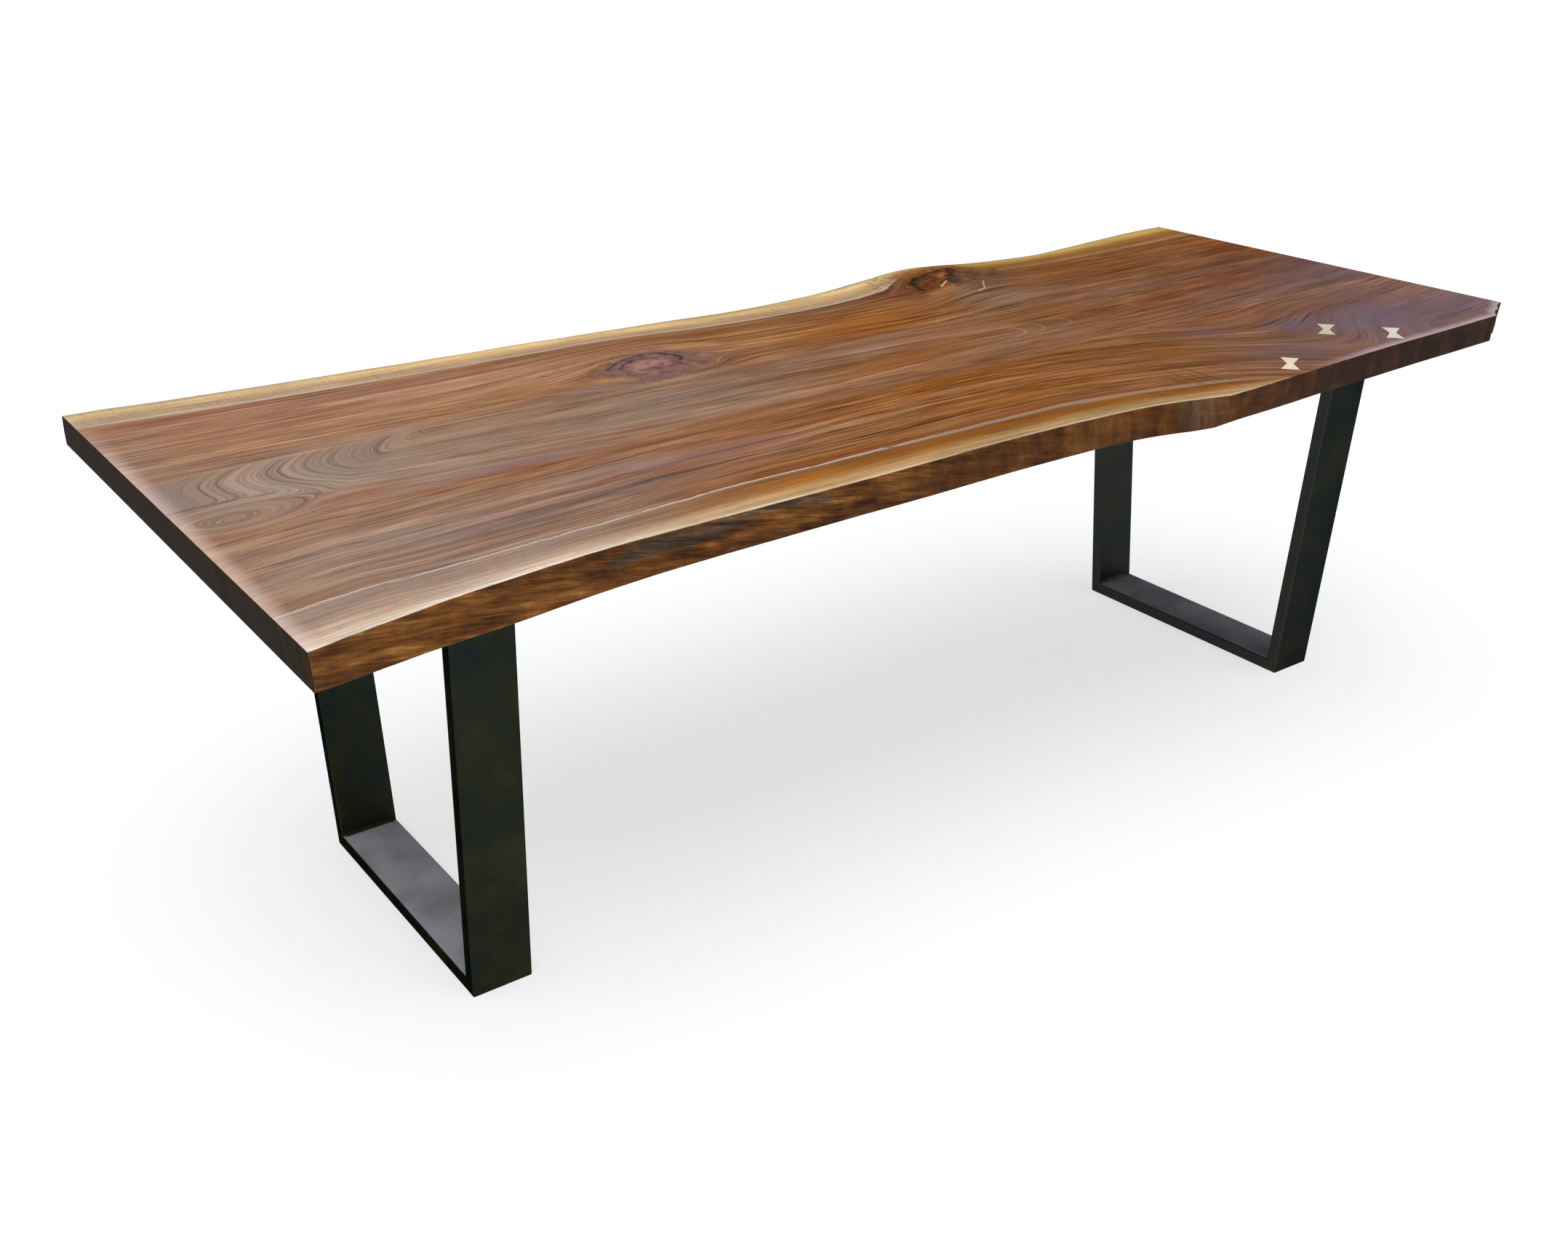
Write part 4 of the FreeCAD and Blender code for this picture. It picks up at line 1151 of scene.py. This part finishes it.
# An oil finish is satin on the planed faces, and nearly matt on the rougher edges and ends
gloss = weighted(tree, 0.38, (fibre, 0.12), (pore, 0.12))
for face, rougher in ((on_edge, 0.4), (on_end, 0.58)):
    gloss = add(tree, "Math", {0: face, 1: rougher, 2: gloss}, operation="MULTIPLY_ADD")
tree.links.new(gloss, shader.inputs["Roughness"])
shader.inputs["IOR"].default_value = 1.47
shader.inputs["Specular IOR Level"].default_value = 0.12
pore_depth = 0.0004
relief = weighted(tree, 0.5, (fibre, 0.6), (pore, 1.0))
bump = add(tree, "Bump", {"Strength": 0.25, "Distance": pore_depth, "Height": relief})
tree.links.new(bump, shader.inputs["Normal"])
finish_of(walnut, rear_piece, front_piece, middle_piece)
print("walnut has", len(tree.nodes), "nodes")

# %% [markdown]
# The small pieces of wood: butterfly keys of maple, nearly white beside the walnut, and loose tenons of
# beech, hidden in the joints. Both are straight grained, so their pattern is stretched along the piece.
# No two sticks of maple are alike, so the keys are tinted by their place along the table.

# %% Maple and beech
# Size of the pattern in millimetres, its turn in degrees, its shades, and the tints from left to right
small_woods = (
    ("hard_maple_oiled", (25, 1.4, 5), 40, "#b2a08e #c4b3a2 #ccbcae #d6c8bc #e1d4ce",
     "#ffffee #cdcc9d #ebf7ff", 0.4, list(key_places)),
    ("beech_planed", (1.4, 25, 1.4), 0, "#a67c56 #c59d76 #e0bb94", "#ffffff #fafafa", 0.6,
     ["rear_joint_tenons", "front_joint_tenons"]))
for name, sizes, degrees, shades, tints, roughness, nodes in small_woods:
    material, tree, shader = new_material(name)
    coords = add(tree, "TexCoord", out="Object")
    turned = add(tree, "Mapping", {"Vector": coords, "Rotation": (0, 0, np.radians(degrees)),
                                   "Scale": [size * mm for size in sizes]}, vector_type="TEXTURE")
    lines = add(tree, "TexNoise", {"Vector": turned, "Scale": 1.0, "Detail": 3.0})
    stick_place = add(tree, "MapRange", {0: add(tree, "SeparateXYZ", {0: coords}), 1: 0.56, 2: 0.867})
    tint = add(tree, "ValToRGB", {0: stick_place}, shades=tints)
    wood = add(tree, "ValToRGB", {0: lines}, shades=shades)
    wood = add(tree, "Mix", {0: 1.0, first_colour: wood, second_colour: tint},
               blend_type="MULTIPLY", **colours)
    tree.links.new(wood, shader.inputs["Base Color"])
    shader.inputs["Roughness"].default_value = roughness
    finish_of(material, *[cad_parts[node] for node in nodes])
    print(name, "on", len(nodes), "nodes")

# %% [markdown]
# The legs are cold drawn steel tube, blackened in a hot salt bath and waxed. The bath leaves a film that
# is almost black, with soft clouds from blue black to olive, and the wax evens the shine to satin. The
# faces that lie upward, more so at the left, get a painted sheen: grey and hardly metallic, in place of
# the sky mirrored in them.

# %% Blackened steel
steel, tree, shader = new_material("blackened_steel_waxed")
coords = add(tree, "TexCoord", out="Object")
clouds = add(tree, "TexNoise", {"Vector": coords, "Scale": 9.0, "Detail": 4.0, "Roughness": 0.6})
specks = add(tree, "TexNoise", {"Vector": coords, "Scale": 260.0, "Detail": 2.0})
steel_tone = weighted(tree, 0.5, (clouds, 1.8), (specks, 0.3))
film = add(tree, "ValToRGB", {0: steel_tone}, shades="#1a2025 #222724 #272a20 #2f3122 #373625")
place_x = add(tree, "SeparateXYZ", {0: coords})
upward = add(tree, "SeparateXYZ", {0: add(tree, "NewGeometry", out="Normal")}, out="Z")
# Painted sheen on the upward faces, stronger at the left: grey and less metallic, standing for mirrored sky
painted_sheen_on_top = product(tree, add(tree, "MapRange", {0: upward, 1: 0.8, 2: 1.0}, **softly),
                add(tree, "MapRange", {0: clouds, 1: 0.3, 2: 0.7, 3: 0.6, 4: 1.0}),
                add(tree, "MapRange", {0: place_x, 1: -0.9, 2: 0.9, 3: 1.2, 4: 0.75}))
right_side = add(tree, "MapRange", {0: place_x, 1: 0.0, 2: 0.8, 4: 0.35})
film = painted(tree, film, (right_side, "#404347"), (painted_sheen_on_top, "#8e9099"))
tree.links.new(film, shader.inputs["Base Color"])
tree.links.new(add(tree, "MapRange", {0: painted_sheen_on_top, 3: 1.0, 4: 0.0}), shader.inputs["Metallic"])
shader.inputs["Specular Tint"].default_value = (0.12, 0.12, 0.12, 1.0)
tree.links.new(weighted(tree, 0.45, (clouds, 0.2), (specks, 0.1)), shader.inputs["Roughness"])
speck_height = 0.0003
bump = add(tree, "Bump", {"Strength": 0.15, "Distance": speck_height, "Height": specks})
tree.links.new(bump, shader.inputs["Normal"])
leg_parts = ["mounting_plate", "front_upright", "rear_upright", "foot_bar"]
leg_nodes = [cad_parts[side + "_leg_" + part] for side in leg_middle_x for part in leg_parts]
finish_of(steel, *leg_nodes)
print("steel on", len(leg_nodes), "nodes")

# %% [markdown]
# The welds in the inside corners were laid by hand: each bead is a row of overlapping ripples, about
# 4 mm apart. A bead is a surface of two parameters, along the corner and round its face.

# %% Weld beads
leg_foot_width, leg_top_width = 531.2, 636.4
leg_lean = np.arctan((leg_top_width - leg_foot_width) / 2 / underside_z)
tube_depth = 25.0
plate_thickness = 6.0
weld_half_length = 46.5
ripple_step = 4.0


def leg_point(side, offset, z):
    """Point in the plane of a leg: an offset in from the outer face of an upright, at a height."""
    half = leg_foot_width / 2 + z * np.tan(leg_lean) - offset / np.cos(leg_lean)
    return np.array((leg_middle_y + side * half, z))


def weld(corner, first, second, middle_x):
    """Bead along X in a corner between two directions: a fan whose reach swells at each ripple."""
    along = np.linspace(-weld_half_length, weld_half_length, 187)
    turn_share = np.linspace(0, 1, 9)
    # The ripples are a little uneven, as a hand moves, and the bead tapers over its last 3 mm
    uneven = along + 1.3 * np.sin(along / 5)
    ripple = np.abs(np.sin(np.pi * uneven / ripple_step)) ** 0.6
    end_fade = np.sqrt(np.clip((weld_half_length - np.abs(along)) / 3.0, 0, 1))
    reach = (4.3 + 0.7 * ripple) * (0.35 + 0.65 * end_fade)
    crown = 1 + 0.10 * np.sin(np.pi * turn_share)
    mix = first * (1 - turn_share[:, None]) + second * turn_share[:, None]
    fan = corner + reach[:, None, None] * (crown[:, None] * mix)
    root = np.broadcast_to(corner, (len(along), 1, 2))
    yz = np.concatenate([root, fan], axis=1)
    x = np.broadcast_to(middle_x + along[:, None, None], (*yz.shape[:2], 1))
    grid = np.concatenate([x, yz], axis=-1)
    number = np.arange(grid.shape[0] * grid.shape[1]).reshape(grid.shape[:2])
    sides = grid_quads(np.concatenate([number, number[:, :1]], axis=1))
    return grid.reshape(-1, 3), sides.tolist() + [number[0].tolist(), number[-1].tolist()]


def leg_welds(side_name, middle_x):
    """The four beads of one leg, as one piece that stands for the CAD beads."""
    beads = []
    for side in (-1, 1):
        low = leg_point(side, tube_depth, tube_depth)
        high = leg_point(side, tube_depth, underside_z - plate_thickness)
        climb = (high - low) / np.linalg.norm(high - low)
        inward = np.array((-side, 0.0))
        beads += [weld(low, climb, inward, middle_x), weld(high, -climb, inward, middle_x)]
    piece = new_mesh(side_name + "_leg_weld_ripples", *joined(beads))
    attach(piece, "root")
    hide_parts(side_name + "_leg_weld_beads")
    finish_of(steel, piece)
    print(piece.name, len(piece.data.polygons), "faces")


for side_name, middle_x in leg_middle_x.items():
    leg_welds(side_name, middle_x)

# %% [markdown]
# The fixings are bought parts: zinc plated hex screws and washers, pale grey with a faint yellow cast,
# and turned brass inserts. They show only from below.

# %% Zinc and brass
# Size of the bloom in millimetres, its shades, the roughness, and the parts of each leg
metals = (("zinc_plated_steel", 3.125, "#7e8080 #b6b6b2 #e4e3da", 0.35, ("screws", "washers")),
          ("brass_turned", 2.0, "#8a6526 #bc974c #edc877", 0.3, ("threaded_inserts",)))
for name, bloom_size, shades, roughness, parts in metals:
    material, tree, shader = new_material(name)
    coords = add(tree, "TexCoord", out="Object")
    bloom = add(tree, "TexNoise", {"Vector": coords, "Scale": 1 / (bloom_size * mm), "Detail": 3.0})
    tree.links.new(add(tree, "ValToRGB", {0: bloom}, shades=shades), shader.inputs["Base Color"])
    shader.inputs["Metallic"].default_value = 1.0
    tree.links.new(weighted(tree, roughness, (bloom, 0.3)), shader.inputs["Roughness"])
    nodes = [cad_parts[side + "_leg_" + part] for side in leg_middle_x for part in parts]
    finish_of(material, *nodes)
    print(name, "on", len(nodes), "nodes")

# %% Boards join the frame
for piece, node in ((rear_piece, "rear_board"), (middle_piece, "middle_board"), (front_piece, "front_board")):
    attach(piece, "root")
    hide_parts(node)
    print(piece.name, "stands for", node)

# %% The size of the dressed model beside the CAD box
bpy.context.view_layer.update()
sizes = {"cad": cad_bounds, "visual": [list(corner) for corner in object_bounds()]}
print(sizes)
